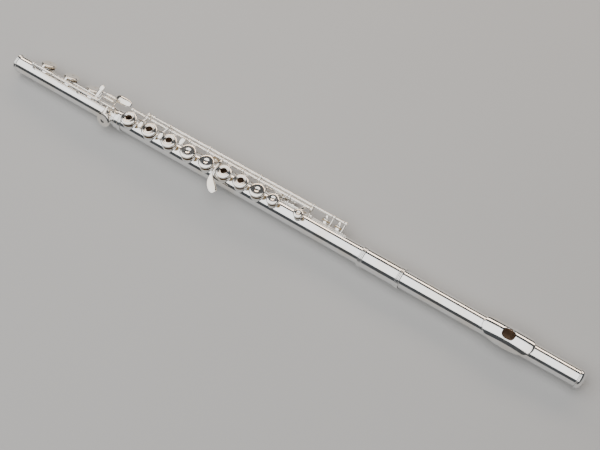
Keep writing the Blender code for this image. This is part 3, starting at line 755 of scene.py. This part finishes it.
def lip_plate():
    """A saddle with rounded corners, in rings from the hole's edge out to the plate's edge and back below."""
    sides = 96
    thick = 0.9
    hole = [(point.x / LIP_HALF_LENGTH, math.asin(point.y / LIP_SIDE_R) / LIP_WRAP)
            for point in oval(0, 0, sides)]
    edge = squarish(sides, 2.9)
    # Each ring's share of the way from the hole to the edge, and how far it drops below the top face
    section = [(0.0, 1.7), (0.0, 0.5), (0.004, 0.18), (0.018, 0.03), (0.04, 0.0)]
    section += [(share, 0.0) for share in (0.1, 0.2, 0.3, 0.4, 0.5, 0.6, 0.7, 0.8, 0.88, 0.94)]
    section += [(0.975, 0.06), (0.992, 0.2), (1.0, 0.45), (0.992, 0.72), (0.97, thick)]
    section += [(share, thick) for share in (0.85, 0.6, 0.4, 0.2, 0.1)]
    section += [(0.06, 1.7)]
    piece = Piece()
    piece.loft([[lip_point(hu + (eu - hu) * share, hv + (ev - hv) * share, drop)
                 for (hu, hv), (eu, ev) in zip(hole, edge)] for share, drop in section], True)
    piece.finish("lip_plate_saddle", "silver", "headjoint", ["lip_plate"], sharp=50.0)


def riser():
    piece = Piece()
    lip = 0.1
    section = [(-0.05, 7.4), (-0.05, 12.3), (lip, 12.4), (0.45, 12.2), (0.45, 7.4)]
    piece.loft([oval(grow, height) for grow, height in section], True)
    half_length, half_width = (half + lip for half in HOLE_HALF)
    tarnish(piece.finish("embouchure_riser", "silver", "headjoint", ["riser"]),
            lambda centre: math.hypot(centre.x / half_length, centre.y / half_width) < 1 and centre.z < 12.35)


def crown():
    """The crown: a beaded rim, a short neck and a low dome."""
    r, x = 10.3, CROWN_X
    outside = [(8.1, x + 6), (8.1, x + 0.1), (r - 0.25, x), (r, x - 0.3), (r, x - 0.9), (r - 0.25, x - 1.2),
               (r - 0.55, x - 1.35), (r - 0.5, x - 1.7)]
    dome = [((r - 0.5) * math.cos(a), x - 1.7 - 4.7 * math.sin(a)) for a in
            (math.radians(d) for d in range(10, 90, 8))]
    profile = [*outside, *dome, (0, x - 6.4), (0, x - 1.5), (2.3, x - 1.5), (2.3, x + 6)]
    turned_piece("crown_turned", "silver", "crown", ["crown"], profile, 64)


def stopper():
    """The stopper: a plate with its threaded stud, the cork on the stud, and the nut that holds the cork."""
    face = STOPPER_X
    plate = head_radius(face) - 1.0
    threads = []
    for i in range(90):
        x = face - 2.2 - 0.53 * i
        threads += [(2.0, x), (1.72, x - 0.26)]
    profile = [(0, face), (plate, face), (plate, face - 1.6), (1.8, face - 1.6), *threads, (0, face - 50.2)]
    turned_piece("stopper_plate_and_stud", "steel", "stopper", ["stopper_plate"], profile, 40, False)
    bore, cork, nut = 2.3, plate - 0.1, 6.4
    low, high = face - 16.9, face - 1.9
    profile = eased([(bore, high), (cork, high), (cork, low), (bore, low)], 0.5)
    turned_piece("stopper_cork_plug", "cork", "stopper", ["stopper_cork"], profile)
    profile = eased([(bore, low - 0.3), (nut, low - 0.3), (nut, low - 2.8), (bore, low - 2.8)], 0.35)
    turned_piece("stopper_round_nut", "steel", "stopper", ["stopper_nut"], profile, 40)


class FLUTE_OT_body_tube(bpy.types.Operator):
    """Body tube with its tone holes, and the barrel with its rings"""

    bl_idname = "flute.body_tube"
    bl_label = "Body tube and barrel"

    def execute(self, context):
        drilled_tube("body_tube", "body", BODY_START_X, BODY_END_X, BODY_CUPS)
        barrel()
        return {"FINISHED"}


def barrel():
    """The barrel: a plain sleeve between two bands of beads, with a fine line beside each."""
    x0, x1 = BARREL_X
    base, sleeve, ring = 10.15, 11.0, 12.0
    band, line, count = 4.6, 0.2, 12
    near = beads(x1 - band, x1, base, ring, 3)[:-1]
    far = beads(x0, x0 + band, base, ring, 3)[1:]
    plain = x1 - x0 - 2 * (band + line)
    middle = [(sleeve, x1 - band - line - plain * i / count) for i in range(count + 1)]
    turned_piece("barrel_sleeve", "silver", "body", ["barrel"], [*near, *middle, *far], 96, sharp=60.0)


class FLUTE_OT_foot_tube(bpy.types.Operator):
    """Foot tube with its socket, end ring and tone holes"""

    bl_idname = "flute.foot_tube"
    bl_label = "Foot tube"

    def execute(self, context):
        drilled_tube("foot_tube", "footjoint", FOOT_START_X, FOOT_END_X, FOOT_CUPS)
        x0, x1 = SOCKET_X
        profile = [(9.8, x1 + 1.0), (10.6, x1 + 0.4), (11.2, x1 - 0.3), (11.2, x0 + 4.2), (11.35, x0 + 3.9),
                   (11.7, x0 + 3.4), (11.7, x0 + 2.6), (11.3, x0 + 2.2), (11.7, x0 + 1.8), (11.7, x0 + 0.5),
                   (11.3, x0), (10.2, x0), (10.2, x1 - 0.3), (9.8, x1 - 0.3)]
        turned_piece("foot_socket", "silver", "footjoint", [], eased(profile, 0.2), 96, sharp=60.0)
        profile = beads(FOOT_END_X - 3.2, FOOT_END_X, 9.5, 11.0, 2, 0.5)
        turned_piece("foot_end_ring", "silver", "footjoint", [], profile, 96, sharp=60.0)
        return {"FINISHED"}


# Posts, ribs and rods

def strap(piece, x0, x1, angles, low=10.2, high=11.2):
    """A rib that lies on the tube between two angles, with its ends rounded off."""
    middle, half = sum(angles) / 2, (angles[1] - angles[0]) / 2
    section = [(-1, low), (-1, high - 0.3), (-0.9, high - 0.08), (-0.7, high), (0, high), (0.7, high),
               (0.9, high - 0.08), (1, high - 0.3), (1, low), (0, low)]
    # Each end narrows and thins in steps
    steps = [(0.0, 0.55, 0.25), (0.35, 0.8, 0.1), (1.0, 1.0, 0.0)]
    stations = [(x0 + inset, share, shrink) for inset, share, shrink in steps]
    stations += [(x1 - inset, share, shrink) for inset, share, shrink in reversed(steps)]
    rings = []
    for x, share, shrink in stations:
        rings.append([ring_point(x, middle + half * share * side, min(radius, high - shrink))
                      for side, radius in section])
    first, last = rings[0], rings[-1]
    piece.loft([[sum(first, Vector()) / len(first)], *rings, [sum(last, Vector()) / len(last)]])


def post(piece, x, foot_angle, line):
    """A post: a turned stem that spreads onto the rib, and a barrel-shaped head on the rod."""
    base = ring_point(x, foot_angle, 10.9)
    head = Vector((x, *line))
    length = (head - base).length
    stem = [(0, length), (1.0, length), (0.92, length * 0.6), (1.0, length * 0.35), (1.3, 1.1), (1.55, 0.7),
            (1.6, 0.3), (1.5, -0.2), (0, -0.2)]
    piece.turned(stem, pointing(base, head), 28, False)
    knob = mirrored([(1.25, 1.75), (1.75, 1.72), (1.95, 1.5), (2.12, 0.9), (2.2, 0)])
    piece.turned(knob, along_x(*line, x), 32)


def rib(x0, x1, angles, posts, line):
    """A rib with a row of posts along its middle."""
    piece = Piece()
    strap(piece, x0, x1, angles)
    for x in posts:
        post(piece, x, sum(angles) / 2, line)
    return piece


def side_head(piece, x, bore):
    """The second head that carries the trill line beside a main post."""
    outer = bore + 0.75
    knob = mirrored([(bore, 1.3), (outer - 0.35, 1.28), (outer - 0.1, 1.05), (outer, 0.6)])
    piece.turned(knob, along_x(*TRILL_LINE, x), 32)
    (main_y, main_z), (trill_y, trill_z) = MAIN_LINE, TRILL_LINE
    piece.bar([(x, main_y - 1.7, main_z), (x, trill_y + outer - 0.3, trill_z)], 2.0, 2.2)


def rod(piece, x0, x1, line):
    """A steel rod whose ends are slotted screw heads."""
    profile = [(0, x1), (0.75, x1), (1.0, x1 - 0.25), (1.0, x0 + 0.25), (0.75, x0), (0, x0)]
    piece.turned(profile, along_x(*line), 24, False)
    y, z = line
    for x in (x0 - 0.02, x1 + 0.02):
        piece.bar([(x, y - 0.6, z), (x, y + 0.6, z)], 0.2, 0.3, 8, 2)


def needle_springs(name, body, line, springs):
    """Fine steel springs that run from the posts beside the rod to the keys they hold."""
    y, z = line
    piece = Piece()
    for x, reach in springs:
        start = Vector((x, y + 0.9, z - 1.7))
        end = Vector((x + reach, y + 1.5, z - 2.1))
        piece.bar([start, start.lerp(end, 0.5), end], (0.5, 0.42, 0.28), None, 8, 3)
    piece.finish(name, "steel", body)


class FLUTE_OT_posts_and_rods(bpy.types.Operator):
    """Ribs with their posts, and the steel rods"""

    bl_idname = "flute.posts_and_rods"
    bl_label = "Posts and rods"

    def execute(self, context):
        main = rib(232.0, 477.6, (56.0, 65.0), MAIN_POSTS, MAIN_LINE)
        for x in THUMB_POSTS:
            post(main, x, 60.5, THUMB_LINE)
        for x, bore in TRILL_ON_MAIN.items():
            side_head(main, x, bore)
        main.finish("main_rib_and_posts", "worked_silver", "body", ["main_rib"])
        trill = rib(188.0, 230.5, (42.0, 51.0), TRILL_POSTS, TRILL_LINE)
        trill.finish("trill_rib_and_posts", "worked_silver", "body", ["trill_rib"])
        foot = rib(490.5, 615.5, (-5.4, 2.6), FOOT_POSTS, FOOT_LINE)
        foot.finish("foot_rib_and_posts", "worked_silver", "footjoint", ["foot_rib"])
        rods = {
            "left_hand_rod": (MAIN_POSTS[0] - 1.6, ROD_SPLIT_X - 0.15, MAIN_LINE, "body"),
            "right_hand_rod": (ROD_SPLIT_X + 0.15, MAIN_POSTS[-1] + 1.6, MAIN_LINE, "body"),
            "thumb_rod": (THUMB_POSTS[0] - 1.6, THUMB_POSTS[1] + 1.6, THUMB_LINE, "body"),
            "foot_rod": (FOOT_POSTS[0] - 1.6, FOOT_POSTS[-1] + 1.6, FOOT_LINE, "footjoint"),
        }
        for name, (x0, x1, line, body) in rods.items():
            piece = Piece()
            rod(piece, x0, x1, line)
            piece.finish(name + "_steel", "steel", body, [name])
        needle_springs("main_needle_springs", "body", MAIN_LINE, MAIN_SPRINGS)
        needle_springs("foot_needle_springs", "footjoint", FOOT_LINE, FOOT_SPRINGS)
        return {"FINISHED"}


# Keys

def cup_heights():
    s = sizes()
    low = s["rim_radius"] + s["pad_gap"] + 0.75
    roof = s["rim_radius"] + s["pad_gap"] + s["pad_thickness"] + 0.1
    return low, roof, roof + s["cup_roof"] + 0.2


def cup(piece, name):
    """A key cup with a softly domed top: an open one has a grommet round its hole, a closed one a hollow."""
    x, angle, radius, _, finger_hole, _ = CUPS[name]
    low, roof, top = cup_heights()
    brow = [(radius - 1.3, top - 0.22), (radius - 0.85, top - 0.38)]
    side = [(radius - 0.5, top - 0.6), (radius - 0.2, top - 0.8), (radius - 0.03, top - 1.1),
            (radius, top - 1.4), (radius, low + 0.35), (radius - 0.12, low + 0.08), (radius - 0.3, low),
            (radius - 0.5, low + 0.1), (radius - 0.5, roof)]
    if finger_hole:
        hole = sizes()["finger_hole"]
        bowl = [(hole + 1.75, top - 0.36), (hole + 2.2, top - 0.2), (hole + 2.9, top - 0.06),
                (hole + 3.6, top - 0.08)]
        grommet = [(hole + 0.45, roof), (hole + 0.45, low - 0.2), (hole, low - 0.2), (hole, top - 0.25),
                   (hole + 0.12, top + 0.05), (hole + 0.45, top + 0.22), (hole + 0.95, top + 0.2),
                   (hole + 1.35, top - 0.02), (hole + 1.6, top - 0.35)]
        piece.turned([*bowl, *brow, *side, *grommet], outward(x, angle), 64)
        return
    share = radius / 9.1
    dish = [(0, top - 0.42), (1.5 * share, top - 0.42), (2.1 * share, top - 0.32), (2.9 * share, top - 0.12),
            (3.9 * share, top - 0.03), (5.2 * share, top - 0.05), (6.6 * share, top - 0.12)]
    piece.turned([*dish, *brow, *side, (0, roof)], outward(x, angle), 64, False)


def pad(name, line):
    s = sizes()
    x, angle, radius, _, finger_hole, turn = CUPS[name]
    low = s["rim_radius"] + s["pad_gap"]
    high = low + s["pad_thickness"]
    outer = radius - 0.62
    inner = s["finger_hole"] + 0.6 if finger_hole else 0
    profile = eased([(inner, high), (outer, high), (outer, low), (inner, low)], 0.45, finger_hole)
    piece = Piece()
    piece.turned(profile, outward(x, angle), 56, finger_hole)
    piece.finish(name + "_skin_pad", "pad_skin", name, [name + "_pad"], line, turn)


def hinge_tube(piece, span, line, collars=()):
    """The tube that turns on a rod, with a raised collar at each end and wherever an arm is soldered on."""
    s = sizes()
    outer, inner = s["hinge_radius"], s["rod_radius"] + 0.12
    x0, x1 = span
    piece.turned(eased([(inner, x1), (outer, x1), (outer, x0), (inner, x0)], 0.18), along_x(*line), 32)
    for x in collars:
        ring = mirrored([(outer - 0.3, 0.8), (outer + 0.16, 0.7), (outer + 0.28, 0.3)])
        piece.turned(ring, along_x(*line, x), 32)


def cup_side(name, line):
    """A point in the cup's wall on the side that faces its hinge line."""
    x, angle, radius, *_ = CUPS[name]
    centre = ring_point(x, angle, cup_heights()[1] - 0.35)
    a = math.radians(angle)
    tangent = Vector((0, -math.cos(a), -math.sin(a)))
    side = 1 if tangent.dot(Vector((x, *line)) - centre) > 0 else -1
    return centre + tangent * side * (radius - 0.35)


def cup_arm(piece, name, line, arm_x=None):
    """A flat arm from the hinge tube that widens where it meets the cup."""
    end = cup_side(name, line)
    start = Vector((end.x if arm_x is None else arm_x, *line))
    lift = (end - start).normalized()
    rise = start.lerp(end, 0.55) + Vector((0, 0, 0.35))
    piece.bar([start + lift * 1.1, rise, end + lift * 0.25], (3.0, 3.4, 4.8), (1.6, 1.5, 1.5), 16, 5)


def key(name, line, span, extra=None, arm_x=None, collars=(), armed=True):
    """One key on its hinge, with its pad: extra adds the touch or the arms that only this key has."""
    piece = Piece()
    cup(piece, name)
    hinge_tube(piece, span, line, [span[0] + 0.9, span[1] - 0.9, *collars])
    if armed:
        cup_arm(piece, name, line, arm_x)
    if extra:
        extra(piece)
    piece.finish(name + "_key_worked", "worked_silver", name, [name + "_key"], line, CUPS[name].turn)
    pad(name, line)


class FLUTE_OT_finger_keys(bpy.types.Operator):
    """The row of finger keys on the main rods, the G sharp key and the B flat side lever"""

    bl_idname = "flute.finger_keys"
    bl_label = "Finger keys"

    def execute(self, context):
        for name, span in MAIN_TUBES.items():
            key(name, MAIN_LINE, span, arm_x=CUPS[name].x)
        key("g_sharp", MAIN_LINE, (343.5, 354.7), g_sharp_arms, collars=(G_SHARP_ARM_X,), armed=False)
        lever = Piece()
        x = 399.8
        y, z = MAIN_LINE
        hinge_tube(lever, (397.5, 402.2), MAIN_LINE)
        lever.bar([(x, y, z + 1.0), (x, y + 1.2, z + 4.4), (x, y + 3.8, z + 6.0)], (2.8, 3.0, 3.4),
                  (1.5, 1.4, 1.3), 14)
        where = Matrix.Translation((x, y + 6.0, z + 6.1)) @ Matrix.Rotation(math.radians(90), 4, "Z")
        lever.touch(where, 10.0, 6.0, 1.4, 0.12, 0.25)
        lever.finish("b_flat_side_lever_worked", "worked_silver", "b_flat_side_lever", ["b_flat_side_lever"])
        return {"FINISHED"}


def g_sharp_arms(piece):
    """The arm over the tube to the spoon, and the one down to the cup."""
    x = G_SHARP_ARM_X
    y, z = MAIN_LINE
    piece.bar([(x, y, z + 0.8), (x, -9.4, z + 3.0), (x, -3.0, z + 3.6), (x, 3.0, z + 3.0), (x, 7.6, z + 1.9)],
              2.2, 1.7, 14)
    spoon = [(x, 5.6, z + 2.5), (x - 1.0, 10.2, z + 1.4), (x - 4.6, 15.4, z + 0.4), (x - 9.4, 19.6, z - 0.2),
             (x - 13.6, 22.2, z - 0.2)]
    piece.bar(spoon, (2.0, 5.2, 8.8, 9.4, 6.4), (1.7, 1.6, 1.7, 1.7, 1.4), 28, 8, (1, 1, 0))
    piece.bar([(352.6, y, z), (353.2, -15.4, 6.2), (357.6, -16.2, 3.8), (361.5, -15.9, 2.0)], 2.0, 1.8, 14)


class FLUTE_OT_trill_keys(bpy.types.Operator):
    """The two trill keys: one on a tube, the other on the steel inside it"""

    bl_idname = "flute.trill_keys"
    bl_label = "Trill keys"

    def execute(self, context):
        x = CUPS["d_trill"].x
        key("d_trill", TRILL_LINE, (212.0, 428.6), lambda piece: trill_touch(piece, 426.3), x, (x, 423.8))
        piece = Piece()
        cup(piece, "d_sharp_trill")
        rod(piece, 193.2, 457.6, TRILL_LINE)
        for x0, x1 in ((197.6, 207.3), (446.8, 453.4)):
            piece.turned(eased([(0.9, x1), (1.6, x1), (1.6, x0), (0.9, x0)], 0.2), along_x(*TRILL_LINE), 32)
        cup_arm(piece, "d_sharp_trill", TRILL_LINE)
        trill_touch(piece, 454.5)
        piece.finish("d_sharp_trill_key_worked", "worked_silver", "d_sharp_trill", ["d_sharp_trill_key"])
        pad("d_sharp_trill", TRILL_LINE)
        return {"FINISHED"}


def trill_touch(piece, x):
    """A teardrop touch between two finger keys, reached over the main rod."""
    y, z = TRILL_LINE
    base = x - 2.5
    piece.bar([(base, y, z + 0.6), (base, y + 1.5, z + 3.5), (base, y + 5.5, z + 4.5), (x, -7.0, z + 3.6)],
              (2.2, 2.0, 1.9, 1.8), 1.5, 14)
    where = Matrix.Translation((x, -3.4, z + 3.4)) @ Matrix.Rotation(math.radians(94), 4, "Z")
    piece.touch(where, 10.8, 6.2, 1.3, -0.22, 0.8)


class FLUTE_OT_thumb_keys(bpy.types.Operator):
    """The thumb key and its B flat lever, below the main rod"""

    bl_idname = "flute.thumb_keys"
    bl_label = "Thumb keys"

    def execute(self, context):
        at = CUPS["thumb_b"]
        key("thumb_b", THUMB_LINE, (264.6, 289.5), lambda piece: thumb_touch(piece, 281.5, 6.0), at.x)
        piece = Piece()
        hinge_tube(piece, (258.5, 264.3), THUMB_LINE)
        thumb_touch(piece, 261.6, 4.8)
        name = "thumb_b_flat_lever"
        piece.finish(name + "_worked", "worked_silver", name, [name], THUMB_LINE, at.turn)
        return {"FINISHED"}


def thumb_touch(piece, x, length):
    y, z = THUMB_LINE
    piece.bar([(x, y, z - 0.8), (x, y - 1.2, z - 2.6), (x, y - 1.6, z - 5.0)], (3.2, 3.6, length * 0.8),
              1.4, 14)
    upright = Matrix.Rotation(math.radians(90), 4, "Y") @ Matrix.Rotation(math.radians(90), 4, "X")
    where = Matrix.Translation((x, y - 1.6, z - 10.0)) @ upright
    piece.touch(where, 14.0, length, 1.4, 0.1, 0.2, 3.2)


class FLUTE_OT_foot_keys(bpy.types.Operator):
    """The foot's four keys and the two rollers"""

    bl_idname = "flute.foot_keys"
    bl_label = "Foot keys"

    def execute(self, context):
        key("foot_d_sharp", FOOT_LINE, (494.4, 510.7), d_sharp_touch, 500.0)
        key("foot_c_sharp", FOOT_LINE, (511.0, 544.0), c_sharp_touch, CUPS["foot_c_sharp"].x)
        key("foot_c", FOOT_LINE, (548.0, 580.0),
            lambda piece: roller_lever(piece, 553.0, -4.6, 513.7, C_ROLLER_LINE), CUPS["foot_c"].x)
        key("foot_b", FOOT_LINE, (580.3, 611.0),
            lambda piece: roller_lever(piece, 584.0, -0.9, 511.2, B_ROLLER_LINE), CUPS["foot_b"].x)
        middle, half = 502.6, 7.0
        profile = mirrored([(0.85, half), (1.25, half), (1.6, half - 0.6), (1.7, half - 1.6)])
        for cup_name, line in (("foot_c", C_ROLLER_LINE), ("foot_b", B_ROLLER_LINE)):
            name = cup_name + "_roller"
            piece = Piece()
            piece.turned(profile, along_x(*line, middle), 32)
            piece.finish(name + "_turned", "worked_silver", name, [name], FOOT_LINE, CUPS[cup_name].turn)
        return {"FINISHED"}


def d_sharp_touch(piece):
    y, z = FOOT_LINE
    x = 496.8
    piece.bar([(x, y, z), (x, y - 2.0, z - 2.6), (x, -11.4, z - 3.0), (x - 1.0, -14.0, z - 2.3)],
              (2.0, 2.2, 2.4, 2.6), 1.7, 14)
    where = Matrix.Translation((489.2, -16.4, z - 1.7)) @ Matrix.Rotation(math.radians(-4), 4, "X")
    piece.touch(where, 22.0, 9.6, 1.8, -0.1, 1.3, 2.8, -0.5)


def c_sharp_touch(piece):
    y, z = FOOT_LINE
    x = 519.2
    piece.bar([(x, y, z + 0.6), (x, y - 6.0, z + 1.2), (x, y - 12.5, z + 0.5)], (4.2, 4.4, 4.8), 1.5, 14)
    piece.touch(Matrix.Translation((x, y - 14.0, z + 0.5)), 6.4, 7.0, 1.6, 0.0, 0.35, 3.0)


def roller_lever(piece, start_x, lane_y, turn_x, roller):
    """The long arm beside the rod that ends in its roller's pin."""
    y, z = FOOT_LINE
    top = 20.1
    lane = [(x, lane_y, top) for x in (start_x - 2.0, (start_x + turn_x) / 2, turn_x + 1.5)]
    piece.bar([(start_x, y, z + 0.5), lane[0]], 2.0, 1.8, 14, 3)
    piece.bar(lane, 1.9, 1.7, 14, 8, (0, 1, 0))
    y, z = roller
    piece.bar([lane[-1], (turn_x, lane_y - 1.4, top), (turn_x, y + 1.4, z + 0.9), (turn_x, y, z)],
              1.8, 1.7, 14, 5)
    profile = [(0, turn_x + 0.5), (0.6, turn_x + 0.5), (0.6, 494.6), (0, 494.4)]
    piece.turned(profile, along_x(*roller), 20, False)


# Studio

class FLUTE_OT_studio(bpy.types.Operator):
    """Floor, soft lights and camera"""

    bl_idname = "flute.studio"
    bl_label = "Studio"

    def execute(self, context):
        studio_floor_sheet()
        softbox("key_softbox", (0.7, 0.3, 1.55), (0.7, 0.0, 0.0), (3.4, 2.7), 60.0, (1.0, 0.99, 0.98))
        softbox("fill_softbox", (0.3, -1.3, 0.75), (0.1, 0.0, 0.0), (2.4, 0.4), 14.0, (1.0, 0.82, 0.66))
        world = bpy.data.worlds.new("studio_air")
        world.use_nodes = True
        world.node_tree.nodes["Background"].inputs["Color"].default_value = (0.07, 0.075, 0.08, 1)
        context.scene.world = world
        camera()
        return {"FINISHED"}


def studio_floor_sheet():
    """The floor, just below the lowest point of the flute."""
    work = bmesh.new()
    bmesh.ops.create_grid(work, x_segments=24, y_segments=24, size=3.0)
    mesh = bpy.data.meshes.new("studio_floor")
    work.to_mesh(mesh)
    work.free()
    mesh.transform(Matrix.Translation((0, 0, CAD_BOX[0].z - FLOOR_GAP)))
    mesh.materials.append(finish_for("floor"))
    placed("studio_floor", mesh)


def softbox(name, place, aim, size, power, color):
    light = bpy.data.lights.new(name, "AREA")
    light.shape = "RECTANGLE"
    light.size, light.size_y = size
    light.energy = power
    light.color = color
    obj = placed(name, light)
    obj.location = place
    obj.rotation_mode = "QUATERNION"
    obj.rotation_quaternion = (Vector(aim) - Vector(place)).to_track_quat("-Z", "Y")


def camera():
    """The camera looks down along the flute from beyond the head, on the side away from the player."""
    data = bpy.data.cameras.new("camera")
    data.lens = 54.06
    data.sensor_width = 36.0
    data.clip_start = 0.01
    data.clip_end = 20.0
    obj = placed("camera", data)
    right = Vector((-0.829, -0.5499, -0.1016))
    down = Vector((-0.4691, 0.7826, -0.4092))
    ahead = Vector((0.3045, -0.2916, -0.9068))
    turn = Matrix((right, -down, -ahead)).transposed().to_4x4()
    obj.matrix_world = Matrix.Translation(FLUTE_ORIGIN + Vector((-47.7, 278.5, 854.0)) * MM) @ turn
    bpy.context.scene.camera = obj


OPERATORS = (
    FLUTE_OT_headjoint, FLUTE_OT_body_tube, FLUTE_OT_foot_tube, FLUTE_OT_posts_and_rods, FLUTE_OT_finger_keys,
    FLUTE_OT_trill_keys, FLUTE_OT_thumb_keys, FLUTE_OT_foot_keys, FLUTE_OT_studio,
)


class FLUTE_PT_panel(bpy.types.Panel):
    """Lists the flute's makers in the sidebar"""

    bl_idname = "FLUTE_PT_panel"
    bl_label = "Concert flute"
    bl_space_type = "VIEW_3D"
    bl_region_type = "UI"
    bl_category = "Flute"

    def draw(self, context):
        layout = self.layout
        for group in (context.scene.flute_sizes, context.scene.flute_finishes):
            for name in group.__annotations__:
                layout.prop(group, name)
        for operator in OPERATORS:
            layout.operator(operator.bl_idname)


CLASSES = (FLUTE_PG_sizes, FLUTE_PG_finishes, *OPERATORS, FLUTE_PT_panel)


def register():
    for cls in CLASSES:
        bpy.utils.register_class(cls)
    bpy.types.Scene.flute_sizes = PointerProperty(type=FLUTE_PG_sizes)
    bpy.types.Scene.flute_finishes = PointerProperty(type=FLUTE_PG_finishes)


def unregister():
    del bpy.types.Scene.flute_finishes
    del bpy.types.Scene.flute_sizes
    for cls in reversed(CLASSES):
        bpy.utils.unregister_class(cls)


def main():
    register()
    bpy.ops.flute.headjoint()
    bpy.ops.flute.body_tube()
    bpy.ops.flute.foot_tube()
    bpy.ops.flute.posts_and_rods()
    bpy.ops.flute.finger_keys()
    bpy.ops.flute.trill_keys()
    bpy.ops.flute.thumb_keys()
    bpy.ops.flute.foot_keys()
    bpy.ops.flute.studio()
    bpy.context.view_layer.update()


if __name__ == "__main__":
    main()
